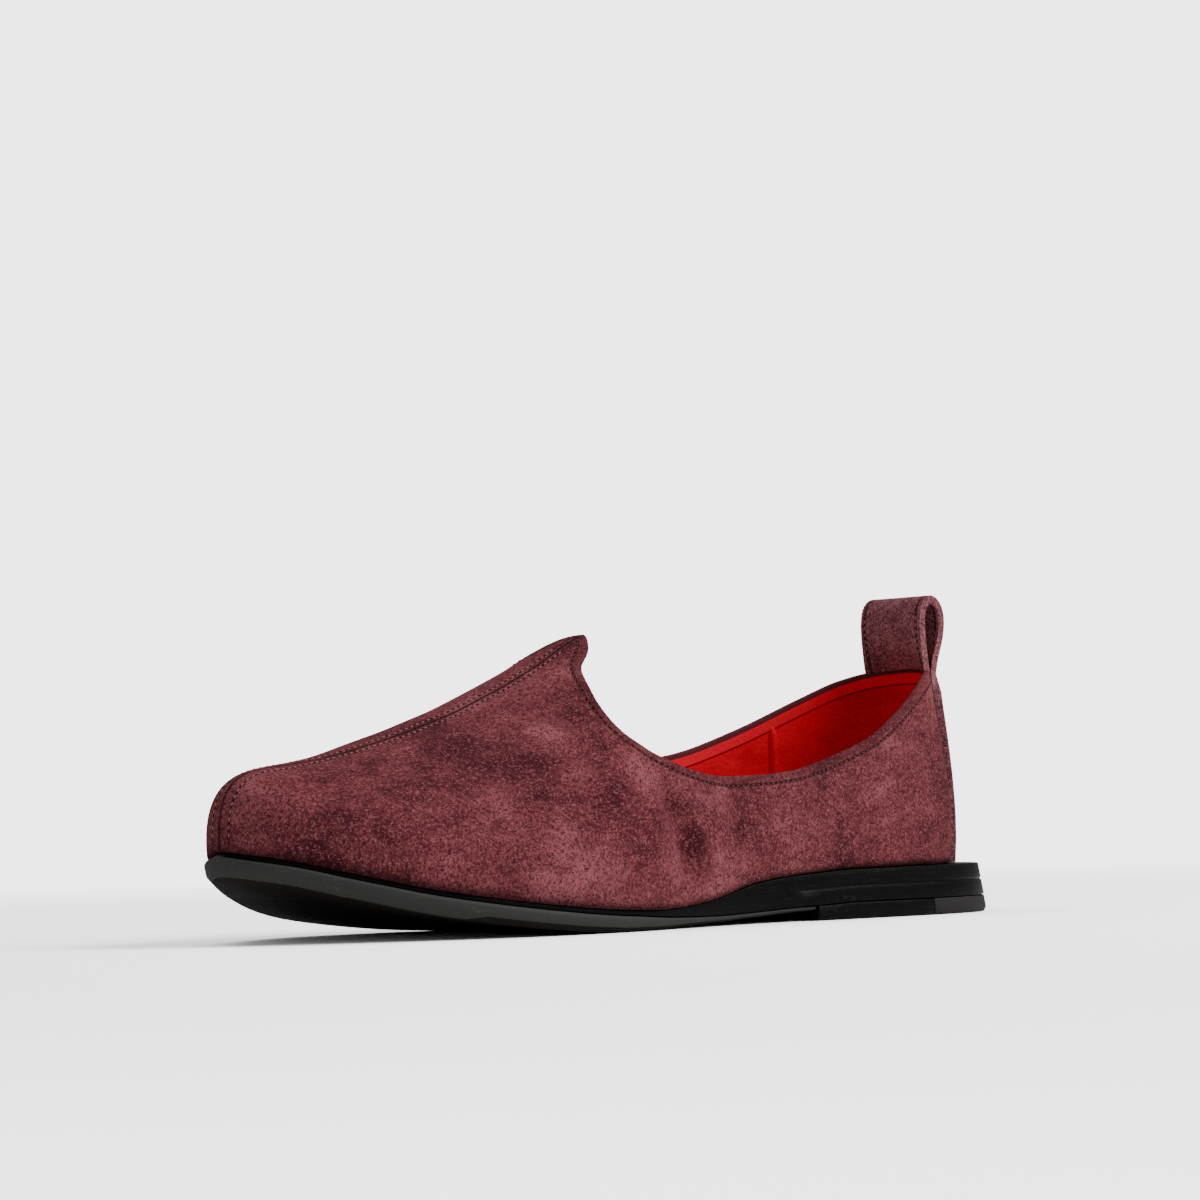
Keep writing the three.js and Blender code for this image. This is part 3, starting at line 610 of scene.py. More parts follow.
@dataclass(frozen=True)
class Suede:
    """Napped suede: linear colours, patterns in cycles per metre, widths in millimetres."""

    name: str
    slot: str
    base: Colour
    light: Colour
    dark: Colour
    patch: float = 34.0
    fine: float = 1700.0
    nap_and_light_gain: float = 0.12
    dark_cloud: Span = (0.37, 0.51)
    light_cloud: Span = (0.5, 0.66)
    dark_speck: Span = (0.415, 0.51)
    light_speck: Span = (0.51, 0.6)
    light_share: float = 0.75
    dark_share: float = 0.94
    relief: float = 0.9
    relief_reach: float = 0.0009
    seam_width: float = 0.6
    seam_depth: float = 1.8
    row_depth: float = 0.9
    groove_depth: float = 1.2
    roll_share: float = 0.4
    foot_shade_share: float = 0.6
    row_width: float = 0.65
    groove_width: float = 0.7
    foot_shade: float = 2.6
    has_seams: bool = False
    groove: Span | None = None

    def make(self, nap: Tree) -> Material:
        """Build the material.

        Args:
            nap: The nap group.

        Returns:
            The material.
        """
        material, book, shader = new_material(self.name, self.slot)
        where = book.where()
        inputs = {"Where": where, "Patch": self.patch, "Fine": self.fine}
        soft = book.add("ShaderNodeGroup", inputs, node_tree=nap)
        cloud, grain, height = (soft.outputs[n] for n in ("Cloud", "Grain", "Height"))
        # Painted light and shade, with some nap tone, from the upper's round patches shifts the colour.
        cloud = book.maths("MULTIPLY_ADD", book.attribute("nap_and_painted_light"), self.nap_and_light_gain, cloud)
        colour = book.mix(book.ramp(cloud, *self.dark_cloud), self.dark, self.base)
        colour = book.cover(colour, book.ramp(cloud, *self.light_cloud), self.light_share, self.light)
        speck = book.maths("SUBTRACT", 1.0, book.ramp(grain, *self.dark_speck))
        colour = book.cover(colour, speck, self.dark_share, self.dark)
        colour = book.cover(colour, book.ramp(grain, *self.light_speck), self.light_share, self.light)
        if self.has_seams:
            colour, height = self.draw_seams(book, colour, height)
        if self.groove:
            colour, height = self.draw_grooves(book, where, colour, height)
        book.feed(shader.inputs["Base Color"], colour)
        set_inputs(shader, {
            "Roughness": 0.95,
            "Specular IOR Level": 0.04,
            "Sheen Weight": 0.05,
            "Sheen Roughness": 0.45,
            "Sheen Tint": (0.9, 0.55, 0.55, 1),
        })
        book.emboss(shader, height, self.relief, self.relief_reach)
        return material

    def draw_grooves(
        self, book: Nodes, where: Socket, colour: Socket, height: Socket
    ) -> tuple[Socket, Socket]:
        """Darken and sink the grooves beside the strap's two edges.

        Args:
            book: Helper for the material's tree.
            where: Object coordinates.
            colour: Colour so far.
            height: Height so far.

        Returns:
            The new colour and height.
        """
        middle, off = self.groove
        y = book.add("ShaderNodeSeparateXYZ", {0: where}).outputs["Y"]
        away = book.maths("ABSOLUTE", book.maths("SUBTRACT", y, middle * MM))
        line = book.near(away, off * MM, self.groove_width * MM)
        colour = book.cover(colour, line, 0.8, darker(self.dark, 0.4))
        return colour, book.maths("SUBTRACT", height, book.times(line, self.groove_depth))

    def draw_seams(self, book: Nodes, colour: Socket, height: Socket) -> tuple[Socket, Socket]:
        """Darken and sink the centre seam, the stitch channels and the collar's edge, and paint shade along
        the upper's foot.

        Args:
            book: Helper for the material's tree.
            colour: Colour so far.
            height: Height so far.

        Returns:
            The new colour and height.
        """
        edge = book.attribute("edge_mm")
        line = book.near(book.maths("ABSOLUTE", book.attribute("seam_mm")), 0.0, self.seam_width)
        row = book.near(book.attribute("row_mm"), 0.0, self.row_width)
        collar = book.near(edge, STITCHES.collar_offset, self.row_width)
        rows = book.maths("MAXIMUM", book.times(row, 0.8), collar)
        roll = book.ramp(edge, STITCHES.collar_offset, 0.5)
        # Painted shade: darker along the foot of the upper, where it meets the sole.
        low = book.ramp(book.attribute("foot_mm"), self.foot_shade, 0.0)
        dark = book.maths("MAXIMUM", book.times(line, 0.85), book.times(rows, 0.75))
        dark = book.maths("MAXIMUM", dark, book.times(low, self.foot_shade_share))
        colour = book.cover(colour, roll, self.roll_share, self.dark)
        colour = book.mix(dark, colour, darker(self.dark, 0.35))
        sunk = book.maths("ADD", book.times(line, self.seam_depth), book.times(rows, self.row_depth))
        return colour, book.maths("SUBTRACT", height, sunk)


@dataclass(frozen=True)
class Felt:
    """Red felted lining, lit at its lip and darker below; bands in millimetres from the edge."""

    name: str
    slot: str
    lip: Colour
    middle: Colour
    deep: Colour
    edge: Colour = (0.0, 0.0, 0.0)
    has_lip: bool = False
    patch: float = 50.0
    fine: float = 1100.0
    cloud_band: Span = (0.35, 0.65)
    fibre_band: Span = (0.45, 0.65)
    fibre_share: float = 0.3
    relief: float = 0.7
    relief_reach: float = 0.0007
    lip_band: Span = (4.6, 3.4)
    lip_seam: Span = (4.1, 0.4)
    rim_band: Span = (0.75, 0.45)

    def make(self, nap: Tree) -> Material:
        """Build the material.

        Args:
            nap: The nap group.

        Returns:
            The material.
        """
        material, book, shader = new_material(self.name, self.slot)
        inputs = {"Where": book.where(), "Patch": self.patch, "Fine": self.fine}
        soft = book.add("ShaderNodeGroup", inputs, node_tree=nap)
        cloud, grain, height = (soft.outputs[n] for n in ("Cloud", "Grain", "Height"))
        colour = book.mix(book.ramp(cloud, *self.cloud_band), self.deep, self.middle)
        colour = book.cover(colour, book.ramp(grain, *self.fibre_band), self.fibre_share, self.lip)
        if self.has_lip:
            edge = book.attribute("edge_mm")
            line = book.near(edge, *self.lip_seam)
            # Painted highlight: the felt is lighter in a band along the lip.
            colour = book.mix(book.ramp(edge, *self.lip_band), colour, self.lip)
            colour = book.cover(colour, line, 0.75, darker(self.deep, 0.35))
            colour = book.mix(book.ramp(edge, *self.rim_band), colour, self.edge)
            height = book.maths("SUBTRACT", height, book.times(line, 1.4))
        book.feed(shader.inputs["Base Color"], colour)
        set_inputs(shader, {
            "Roughness": 0.9,
            "Specular IOR Level": 0.04,
            "Sheen Weight": 0.03,
            "Sheen Roughness": 0.4,
            "Sheen Tint": (1.0, 0.25, 0.2, 1),
        })
        book.emboss(shader, height, self.relief, self.relief_reach)
        return material


@dataclass(frozen=True)
class SoleEdge:
    """Finish of a sole piece: polished edge or matt rubber, with scuffs and dust."""

    name: str
    slot: str
    base: Colour
    scuffed: Colour
    rough: float
    coat: float
    gloss: float = 0.08
    layer_scale: float = 900.0
    grain: float = 700.0
    patch: float = 45.0
    spot_band: Span = (0.55, 0.74)
    patch_band: Span = (0.4, 0.65)
    layer_band: Span = (0.6, 0.72)
    scuff_share: float = 0.7
    layer_share: float = 0.25
    relief: float = 0.35
    relief_reach: float = 0.0003

    def make(self) -> Material:
        """Build the material.

        Returns:
            The material.
        """
        material, book, shader = new_material(self.name, self.slot)
        where = book.where()
        drawn = book.add("ShaderNodeMapping", {"Vector": where, "Scale": (0.12, 0.3, 2.2)}).outputs[0]
        layers = book.noise(drawn, self.layer_scale, 3.0, 0.6)
        spots = book.noise(where, self.grain, 5.0, 0.7)
        patch = book.noise(where, self.patch, 4.0, 0.6)
        worn = book.times(book.ramp(spots, *self.spot_band), book.ramp(patch, *self.patch_band))
        colour = book.cover(self.base, worn, self.scuff_share, self.scuffed)
        lined = book.ramp(layers, *self.layer_band)
        colour = book.cover(colour, lined, self.layer_share, self.scuffed)
        book.feed(shader.inputs["Base Color"], colour)
        rough = book.maths("MULTIPLY_ADD", patch, 0.25, self.rough - 0.1)
        book.feed(shader.inputs["Roughness"], book.maths("ADD", rough, book.times(worn, 0.2)))
        set_inputs(shader, {
            "Specular IOR Level": self.gloss,
            "Coat Weight": self.coat,
            "Coat Roughness": 0.25,
        })
        height = book.maths("ADD", book.times(layers, 0.6), book.times(spots, 0.5))
        book.emboss(shader, height, self.relief, self.relief_reach)
        return material


@dataclass(frozen=True)
class Plain:
    """Thread and needle holes: one colour with a little unevenness."""

    name: str
    slot: str
    base: Colour
    rough: float = 0.8

    def make(self) -> Material:
        """Build the material.

        Returns:
            The material.
        """
        material, book, shader = new_material(self.name, self.slot)
        blotch = book.ramp(book.noise(book.where(), 400.0), 0.3, 0.7)
        book.feed(shader.inputs["Base Color"], book.mix(blotch, darker(self.base, 0.82), self.base))
        set_inputs(shader, {"Roughness": self.rough, "Specular IOR Level": 0.1})
        return material


@dataclass
class Stitching:
    """Sizes of the stitch rows, in millimetres."""

    seam_offset: float = 1.7
    toe_spread: float = 2.0
    collar_offset: float = 2.1
    strap_inset: float = 1.8
    pitch: float = 2.15
    length: float = 1.15
    width: float = 0.5
    height: float = 0.4
    hole: float = 0.42
    hole_depth: float = 0.2
    raised: float = 0.02
    look_ahead: float = 0.4

    def template(self) -> tuple[Array, list[tuple[int, ...]]]:
        """Model one stitch as a small rounded bead.

        Returns:
            Its points for a size of one, and its faces.
        """
        bpy.ops.object.select_all(action="DESELECT")
        bpy.ops.mesh.primitive_uv_sphere_add(segments=8, ring_count=5, radius=0.5)
        bead = bpy.context.object
        bpy.ops.object.mode_set(mode="EDIT")
        bpy.ops.mesh.select_all(action="SELECT")
        bpy.ops.transform.rotate(value=math.pi / 2, orient_axis="Y", center_override=(0, 0, 0))
        bpy.ops.object.mode_set(mode="OBJECT")
        points = np.array([v.co for v in bead.data.vertices])
        faces = [tuple(p.vertices) for p in bead.data.polygons]
        bpy.data.objects.remove(bead)
        return points, faces

    def rows(self, name: str, paths: list[Path], thread: Material, hole: Material) -> Piece:
        """Lay stitches and the needle holes between them along paths.

        Args:
            name: Name of the piece.
            paths: Points and outward directions of each row, in row-frame metres.
            thread: Material of the thread.
            hole: Material of the holes.

        Returns:
            One object with all rows.
        """
        bead, bead_faces = self.template()
        points: list[Array] = []
        faces: list[tuple[int, ...]] = []
        marks: list[int] = []
        for path, normals in paths:
            walked = np.concatenate([[0], np.cumsum(np.linalg.norm(np.diff(path, axis=0), axis=1))])
            count = int(walked[-1] / (self.pitch * MM))
            for k in range(2 * count):
                at = (k / 2 + 0.5) * self.pitch * MM
                place = np.array([np.interp(at, walked, path[:, i]) for i in range(3)])
                further = at + self.look_ahead * MM
                ahead = np.array([np.interp(further, walked, path[:, i]) for i in range(3)]) - place
                up = np.array([np.interp(at, walked, normals[:, i]) for i in range(3)])
                if np.linalg.norm(ahead) < 1e-6:
                    continue
                ahead /= np.linalg.norm(ahead)
                up -= ahead * (up @ ahead)
                up /= np.linalg.norm(up)
                is_hole = k % 2 == 1
                size = (self.length, self.width, self.height)
                if is_hole:
                    size = (self.hole, self.hole, self.hole_depth)
                axes = np.stack([ahead, np.cross(up, ahead), up])
                base = sum(len(p) for p in points)
                points.append(place + up * (self.raised * MM) + (bead * np.array(size) * MM) @ axes)
                faces.extend(tuple(base + i for i in f) for f in bead_faces)
                marks.extend([int(is_hole)] * len(bead_faces))
        mesh = bpy.data.meshes.new(name)
        mesh.from_pydata(np.concatenate(points).tolist(), [], faces)
        mesh.polygons.foreach_set("material_index", marks)
        mesh.shade_smooth()
        for material in (thread, hole):
            mesh.materials.append(material)
        return new_piece(name, mesh)


STITCHES = Stitching()


@dataclass(frozen=True)
class LiningSeam:
    """Raised upright cord of the lining, in millimetres; the stretches are shares of its radius."""

    place: float = -92.0
    radius: float = 1.25
    around: int = 8
    below_edge: float = 2.6
    above_foot: float = 2.0
    sunk: float = 0.1
    wide: float = 1.15
    proud: float = 0.8
    end_share: float = 0.35


@dataclass
class Upper:
    """Suede upper with its felt lining, and the stitch rows on it."""

    shift: tuple[float, float, float]
    wall: float = 2.4
    finer: int = 2
    steps: int = 26
    last: Last = field(default_factory=Last)
    nose_start: float = 104.0
    nose_run: float = 24.0
    nose_turn: float = 124.0
    nose_lines: int = 16
    calm_foot: Span = (3.0, 8.0)
    rim_bows: tuple[float, ...] = (0.25, 0.5, 0.75)
    rim_rise: float = 0.42
    rim_away: float = 50.0
    creases: tuple[Crease, ...] = (
        Crease((13, 42, 36), (4, 41, 13), 4.6, 3.6),
        Crease((22, 43, 33), (20, 44, 15), 5.5, -1.4),
        Crease((-8, 38, 34), (-7, 39, 16), 6.0, -0.7),
        Crease((30, 42, 36), (42, 37, 46), 5.0, -0.7),
        Crease((34, 44, 28), (54, 40, 36), 5.0, 0.7),
        Crease((34, 46, 17), (62, 46, 16), 7.0, -0.6),
        Crease((-20, 37, 22), (-14, 36, 40), 6.0, 0.9),
        Crease((-46, 34, 20), (-40, 33, 40), 12.0, -0.6),
        Crease((-68, 33, 22), (-62, 31, 46), 8.0, 0.7),
        Crease((60, 32, 34), (84, 24, 40), 6.0, 0.6),
        Crease((74, -16, 50), (78, 20, 48), 8.0, 0.5),
        Crease((58, -24, 52), (60, 8, 62), 7.0, 0.4),
        Crease((8, -33, 42), (2, -34, 14), 5.0, 1.8),
        Crease((20, -37, 34), (22, -38, 14), 6.0, -0.8),
        Crease((-20, -32, 24), (-14, -31, 44), 7.0, 0.9),
        Crease((34, -38, 22), (52, -32, 40), 6.0, 0.7),
        Crease((-60, -32, 22), (-54, -31, 46), 9.0, 0.6),
        Crease((-120, 20, 24), (-118, 19, 60), 8.0, -0.4),
    )
    # Patches of painted light and shade, with some nap tone: shade in the dent and on the vamp, toe and rear,
    # highlights beside the dent, and floor light under the ball.
    nap_and_painted_light: tuple[NapAndPaintedLightPatch, ...] = (
        NapAndPaintedLightPatch((46, 36, 44), 6.0, 1.5),
        NapAndPaintedLightPatch((46, 24, 56), 6.5, 1.0),
        NapAndPaintedLightPatch((25, 39, 45), 8.0, 1.2),
        NapAndPaintedLightPatch((50, 42, 31), 8.0, -0.9),
        NapAndPaintedLightPatch((23, 43, 31), 8.0, 0.1),
        NapAndPaintedLightPatch((52, 45, 18), 20.0, 0.95),
        NapAndPaintedLightPatch((90, 41, 16), 16.0, 0.4),
        NapAndPaintedLightPatch((-45, 33, 34), 22.0, 0.05),
        NapAndPaintedLightPatch((-80, 31, 50), 20.0, 0.1),
        NapAndPaintedLightPatch((-8, 38, 36), 8.0, 0.5),
        NapAndPaintedLightPatch((67, 45, 18), 8.0, 0.7),
        NapAndPaintedLightPatch((5, 41, 24), 5.5, -2.2),
        NapAndPaintedLightPatch((13, 41, 34), 7.0, -0.9),
        NapAndPaintedLightPatch((-17, 36, 29), 10.0, -1.2),
        NapAndPaintedLightPatch((69, 18, 52), 22.0, -0.35),
        NapAndPaintedLightPatch((95, 14, 44), 20.0, -0.3),
        NapAndPaintedLightPatch((118, 20, 38), 14.0, -0.4),
        NapAndPaintedLightPatch((30, 45, 22), 7.0, -0.6),
        NapAndPaintedLightPatch((75, 35, 35), 6.5, 0.9),
        NapAndPaintedLightPatch((-95, 31, 22), 10.0, -0.4),
        NapAndPaintedLightPatch((-118, 22, 38), 22.0, -0.45),
        NapAndPaintedLightPatch((128, 16, 26), 18.0, -0.5),
        NapAndPaintedLightPatch((40, -36, 34), 12.0, 0.7),
        NapAndPaintedLightPatch((4, -34, 26), 8.0, -1.1),
        NapAndPaintedLightPatch((-50, -32, 36), 20.0, 0.6),
        NapAndPaintedLightPatch((80, -30, 36), 16.0, -0.5),
    )

    def build(self) -> None:
        """Work out the welded outer face, its normals and its distance fields.

        The points of both sides are welded where they meet, and the creases are pressed in.
        """
        angles = self.last.line_angles(self.finer)
        places = np.linspace(0, 1, self.steps + 1)
        self.grids = {side: self.last.lines(angles, side, places) for side in Side}
        self.open_lines = self.last.throat["height"](angles) < 1 - 1e-9
        first = int(np.argmax(self.open_lines)) - 1
        self.open_lines[first] = True
        stack = np.concatenate([self.grids[s].reshape(-1, 3) for s in Side])
        keys = np.round(stack, 3)
        _, index, back = np.unique(keys, axis=0, return_index=True, return_inverse=True)
        self.index = {s: part for s, part in zip(Side, np.split(back.reshape(-1), 2))}
        self.points = stack[index]
        shape = self.grids[Side.OUTER].shape[:2]
        self.index = {s: part.reshape(shape) for s, part in self.index.items()}
        self.faces = self.outer_faces()
        self.press_creases()
        self.normals = self.vertex_normals()
        collar = [self.points[self.index[s][self.open_lines, -1]] for s in Side]
        self.edge = np.min([self.distance(line) for line in collar], axis=0)
        ridge = self.points[self.index[Side.OUTER][: first + 1, -1]]
        toe = self.points[self.index[Side.OUTER][0]]
        self.seam = np.minimum(self.distance(ridge), self.distance(toe))
        self.foot = self.points[:, 2] - self.last.bed(self.points[:, 0]) - self.last.gap
        ahead = np.clip((self.points[:, 0] - self.nose_start) / self.nose_run, 0, 1)
        self.row = self.seam - STITCHES.seam_offset - STITCHES.toe_spread * ahead * ahead * (3 - 2 * ahead)
        # Painted light and shade, with some nap tone, summed from the round patches.
        self.nap = np.zeros(len(self.points))
        for patch in self.nap_and_painted_light:
            off = np.linalg.norm(self.points - np.array(patch.centre, float), axis=1)
            self.nap += patch.tone * np.exp(-((off / patch.radius) ** 2))

    def outer_faces(self) -> list[tuple[int, ...]]:
        """Faces of the outer side, seen from outside.

        Returns:
            Corner numbers of the faces.
        """
        faces = []
        for side in Side:
            grid = self.index[side]
            for i in range(grid.shape[0] - 1):
                for j in range(grid.shape[1] - 1):
                    corners = [grid[i, j], grid[i + 1, j], grid[i + 1, j + 1], grid[i, j + 1]]
                    if side is Side.INNER:
                        corners.reverse()
                    kept = [int(c) for k, c in enumerate(corners) if c != corners[k - 1]]
                    if len(set(kept)) > 2:
                        faces.append(tuple(kept))
        return faces

    def vertex_normals(self) -> Array:
        """Outward directions at the points of the outer face.

        Returns:
            Unit vectors.
        """
        normals = np.zeros_like(self.points)
        for face in self.faces:
            a, b, c = (self.points[face[k]] for k in (0, 1, 2))
            facing = np.cross(b - a, c - a)
            if len(face) == 4:
                facing = facing + np.cross(c - a, self.points[face[3]] - a)
            for corner in face:
                normals[corner] += facing
        return normals / np.linalg.norm(normals, axis=1, keepdims=True)

    def press_creases(self) -> None:
        """Press the creases into the outer face.

        They fade out towards the lower edge, so that it stays on the sole.
        """
        normals = self.vertex_normals()
        moved = np.zeros(len(self.points))
        height = self.points[:, 2] - self.last.bed(self.points[:, 0])
        calm = np.clip((height - self.calm_foot[0]) / self.calm_foot[1], 0, 1)
        for crease in self.creases:
            start, end = np.array(crease.start, float), np.array(crease.end, float)
            run = end - start
            along = np.clip((self.points - start) @ run / (run @ run), 0, 1)
            off = np.linalg.norm(self.points - start - along[:, None] * run, axis=1)
            moved -= crease.depth * np.exp(-((off / crease.width) ** 2)) * calm
        self.points = self.points + normals * moved[:, None]

    def distance(self, line: Array) -> Array:
        """Distance of every point of the outer face from a line.

        Args:
            line: Points of the line.

        Returns:
            Distances, in millimetres.
        """
        best = np.full(len(self.points), 1e9)
        for a, b in zip(line, line[1:]):
            run = b - a
            size = run @ run
            if size < 1e-8:
                continue
            t = np.clip((self.points - a) @ run / size, 0, 1)
            best = np.minimum(best, np.linalg.norm(self.points - a - t[:, None] * run, axis=1))
        return best

    def boundary(self) -> list[tuple[int, int]]:
        """Open edges of the outer face, each in the direction of its face.

        Returns:
            Pairs of point numbers.
        """
        seen: dict[tuple[int, int], int] = {}
        for face in self.faces:
            for k, corner in enumerate(face):
                pair = (corner, face[(k + 1) % len(face)])
                seen[pair] = seen.get(pair, 0) + 1
        return [pair for pair in seen if (pair[1], pair[0]) not in seen]

    def mesh(self) -> bpy.types.Mesh:
        """Closed wall of suede and lining with a rolled edge at the collar.

        Returns:
            The mesh, in row-frame metres.
        """
        count = len(self.points)
        flat = self.normals.copy()
        low = np.zeros(count, bool)
        for side in Side:
            low[self.index[side][:, 0]] = True
        flat[low, 2] = 0
        flat /= np.linalg.norm(flat, axis=1, keepdims=True)
        inner = self.points - flat * self.wall
        inner[low, 2] = self.last.bed(inner[low, 0]) + self.last.gap
        edges = self.boundary()
        top = sorted({v for pair in edges for v in pair if not low[v]})
        rise = self.rim_direction(top)
        rim = []
        for bow in self.rim_bows:
            turn = bow * math.pi
            middle = (self.points[top] + inner[top]) / 2
            radius = (self.points[top] - inner[top]) / 2
            rise_here = rise * (math.sin(turn) * self.wall * self.rim_rise)
            rim.append(middle + radius * math.cos(turn) + rise_here)
        bows = len(self.rim_bows)
        rings = {}
        for i, v in enumerate(top):
            rings[v] = [v, *(2 * count + k * len(top) + i for k in range(bows)), count + v]
        faces = list(self.faces)
        parts = [Part.SUEDE.value] * len(faces)
        faces += [tuple(count + c for c in reversed(face)) for face in self.faces]
        parts += [Part.LINING.value] * len(self.faces)
        for a, b in edges:
            if low[a] and low[b]:
                faces.append((b, a, count + a, count + b))
                parts.append(Part.SUEDE.value)
            else:
                for k in range(bows + 1):
                    faces.append((rings[b][k], rings[a][k], rings[a][k + 1], rings[b][k + 1]))
                    parts.append(Part.SUEDE.value if k < bows else Part.LINING.value)
        everything = np.concatenate([self.points, inner, *rim])
        mesh = bpy.data.meshes.new("upper_suede")
        mesh.from_pydata(self.to_row(everything).tolist(), [], faces)
        mesh.polygons.foreach_set("material_index", parts)
        extra = len(top) * bows
        for name, values in self.attributes().items():
            fill = np.full(extra, 0.0 if name in ("edge_mm", "nap_and_painted_light") else self.rim_away)
            layer = mesh.attributes.new(name, "FLOAT", "POINT")
            layer.data.foreach_set("value", np.concatenate([values, values, fill]).astype(np.float32))
        mesh.shade_smooth()
        return mesh

    def attributes(self) -> dict[str, Array]:
        """Values that the materials read at each point."""
        named = {"edge_mm": self.edge, "seam_mm": self.seam, "foot_mm": self.foot}
        return named | {"row_mm": self.row, "nap_and_painted_light": self.nap}

    def rim_direction(self, top: list[int]) -> Array:
        """Direction in which the wall ends at each point of the collar.

        Args:
            top: Numbers of the collar's points.

        Returns:
            Unit vectors.
        """
        found = {}
        for side in Side:
            grid = self.index[side]
            line = grid[self.open_lines]
            ends = self.points[line[:, -1]]
            run = np.gradient(ends, axis=0)
            for k, corner in enumerate(line[:, -1]):
                out = np.cross(self.normals[corner], run[k])
                inward = self.points[line[k, -3]] - ends[k]
                out = out if out @ inward < 0 else -out
                found[int(corner)] = out / max(1e-9, np.linalg.norm(out))
        return np.array([found.get(v, np.array([0, 0, 1.0])) for v in top])

    def to_row(self, points: Array) -> Array:
        """Turn millimetres of the last into row-frame metres."""
        return (np.asarray(points) + np.array(self.shift)) * MM

    def contour(self, field_values: Array, level: float, side: Side, lines: Array) -> Path:
        """Path on the outer face where a distance has a given value.

        Args:
            field_values: Distance at each point.
            level: Value to follow, in millimetres.
            side: Side of the foot.
            lines: Which lines to follow.

        Returns:
            Points and outward directions, in row-frame metres.
        """
        places, facing = [], []
        for line in self.index[side][lines]:
            values = field_values[line]
            hits = np.nonzero((values[:-1] - level) * (values[1:] - level) <= 0)[0]
            if len(hits) == 0 or abs(values[hits[-1]] - values[hits[-1] + 1]) < 1e-9:
                continue
            j = hits[-1]
            t = (level - values[j]) / (values[j + 1] - values[j])
            places.append(self.points[line[j]] * (1 - t) + self.points[line[j + 1]] * t)
            facing.append(self.normals[line[j]] * (1 - t) + self.normals[line[j + 1]] * t)
        return self.to_row(np.array(places)), np.array(facing)

    def nose_path(self, side: Side) -> Path:
        """Row beside the centre seam where it goes down the nose of the toe.

        Args:
            side: Side of the foot.

        Returns:
            Points and outward directions, in row-frame metres, from the sole upwards.
        """
        places, facing = [], []
        for j in range(1, self.steps + 1):
            line = self.index[side][: self.nose_lines, j]
            values = self.row[line]
            hits = np.nonzero((values[:-1] <= 0) & (values[1:] > 0))[0]
            if len(hits) == 0:
                continue
            i = hits[0]
            t = -values[i] / (values[i + 1] - values[i])
            place = self.points[line[i]] * (1 - t) + self.points[line[i + 1]] * t
            if place[0] > self.nose_turn:
                places.append(place)
                facing.append(self.normals[line[i]])
        return self.to_row(np.array(places)), np.array(facing)

    def stitch_paths(self) -> list[Path]:
        """Paths of the rows beside the centre seam and round the collar.

        Returns:
            Points and directions of each row.
        """
        paths = []
        closed = ~self.open_lines
        for side in Side:
            nose, up = self.nose_path(side)
            vamp, out = self.contour(self.row, 0.0, side, closed)
            kept = vamp[:, 0] < (self.nose_turn + self.shift[0]) * MM
            paths.append((np.concatenate([nose, vamp[kept]]), np.concatenate([up, out[kept]])))
            paths.append(self.contour(self.edge, STITCHES.collar_offset, side, self.open_lines))
        return paths

    def lining_seams(self, material: Material, cord: LiningSeam) -> Piece:
        """Raised upright seams of the lining, one on each side.

        Args:
            material: The lining's material.
            cord: Sizes of the raised cord.

        Returns:
            One object with both seams.
        """
        mesh = bmesh.new()
        turns = np.linspace(0, 2 * math.pi, cord.around, endpoint=False)
        for side in Side:
            grid = self.index[side]
            tops = np.where(self.open_lines, self.points[grid[:, -1], 0], 1e9)
            line = grid[int(np.argmin(np.abs(tops - cord.place)))]
            wanted = line[(self.edge[line] > cord.below_edge) & (self.foot[line] > cord.above_foot)]
            path = self.points[wanted] - self.normals[wanted] * (self.wall + cord.sunk)
            rings = []
            for k, middle in enumerate(path):
                ahead = path[min(k + 1, len(path) - 1)] - path[max(k - 1, 0)]
                ahead = ahead / np.linalg.norm(ahead)
                out = self.normals[wanted[k]]
                across = np.cross(ahead, out)
                fat = cord.radius * (cord.end_share if k in (0, len(path) - 1) else 1.0)
                ring = []
                for t in turns:
                    spoke = across * math.cos(t) * cord.wide + out * math.sin(t) * cord.proud
                    ring.append(mesh.verts.new(self.to_row(middle + fat * spoke)))
                rings.append(ring)
            for low, high in zip(rings, rings[1:]):
                for k in range(cord.around):
                    after = (k + 1) % cord.around
                    mesh.faces.new((low[k], low[after], high[after], high[k]))
            mesh.faces.new(rings[0][::-1])
            mesh.faces.new(rings[-1])
        bmesh.ops.recalc_face_normals(mesh, faces=mesh.faces)
        data = bpy.data.meshes.new("lining_seams")
        mesh.to_mesh(data)
        mesh.free()
        data.shade_smooth()
        data.materials.append(material)
        return new_piece("lining_seams", data)


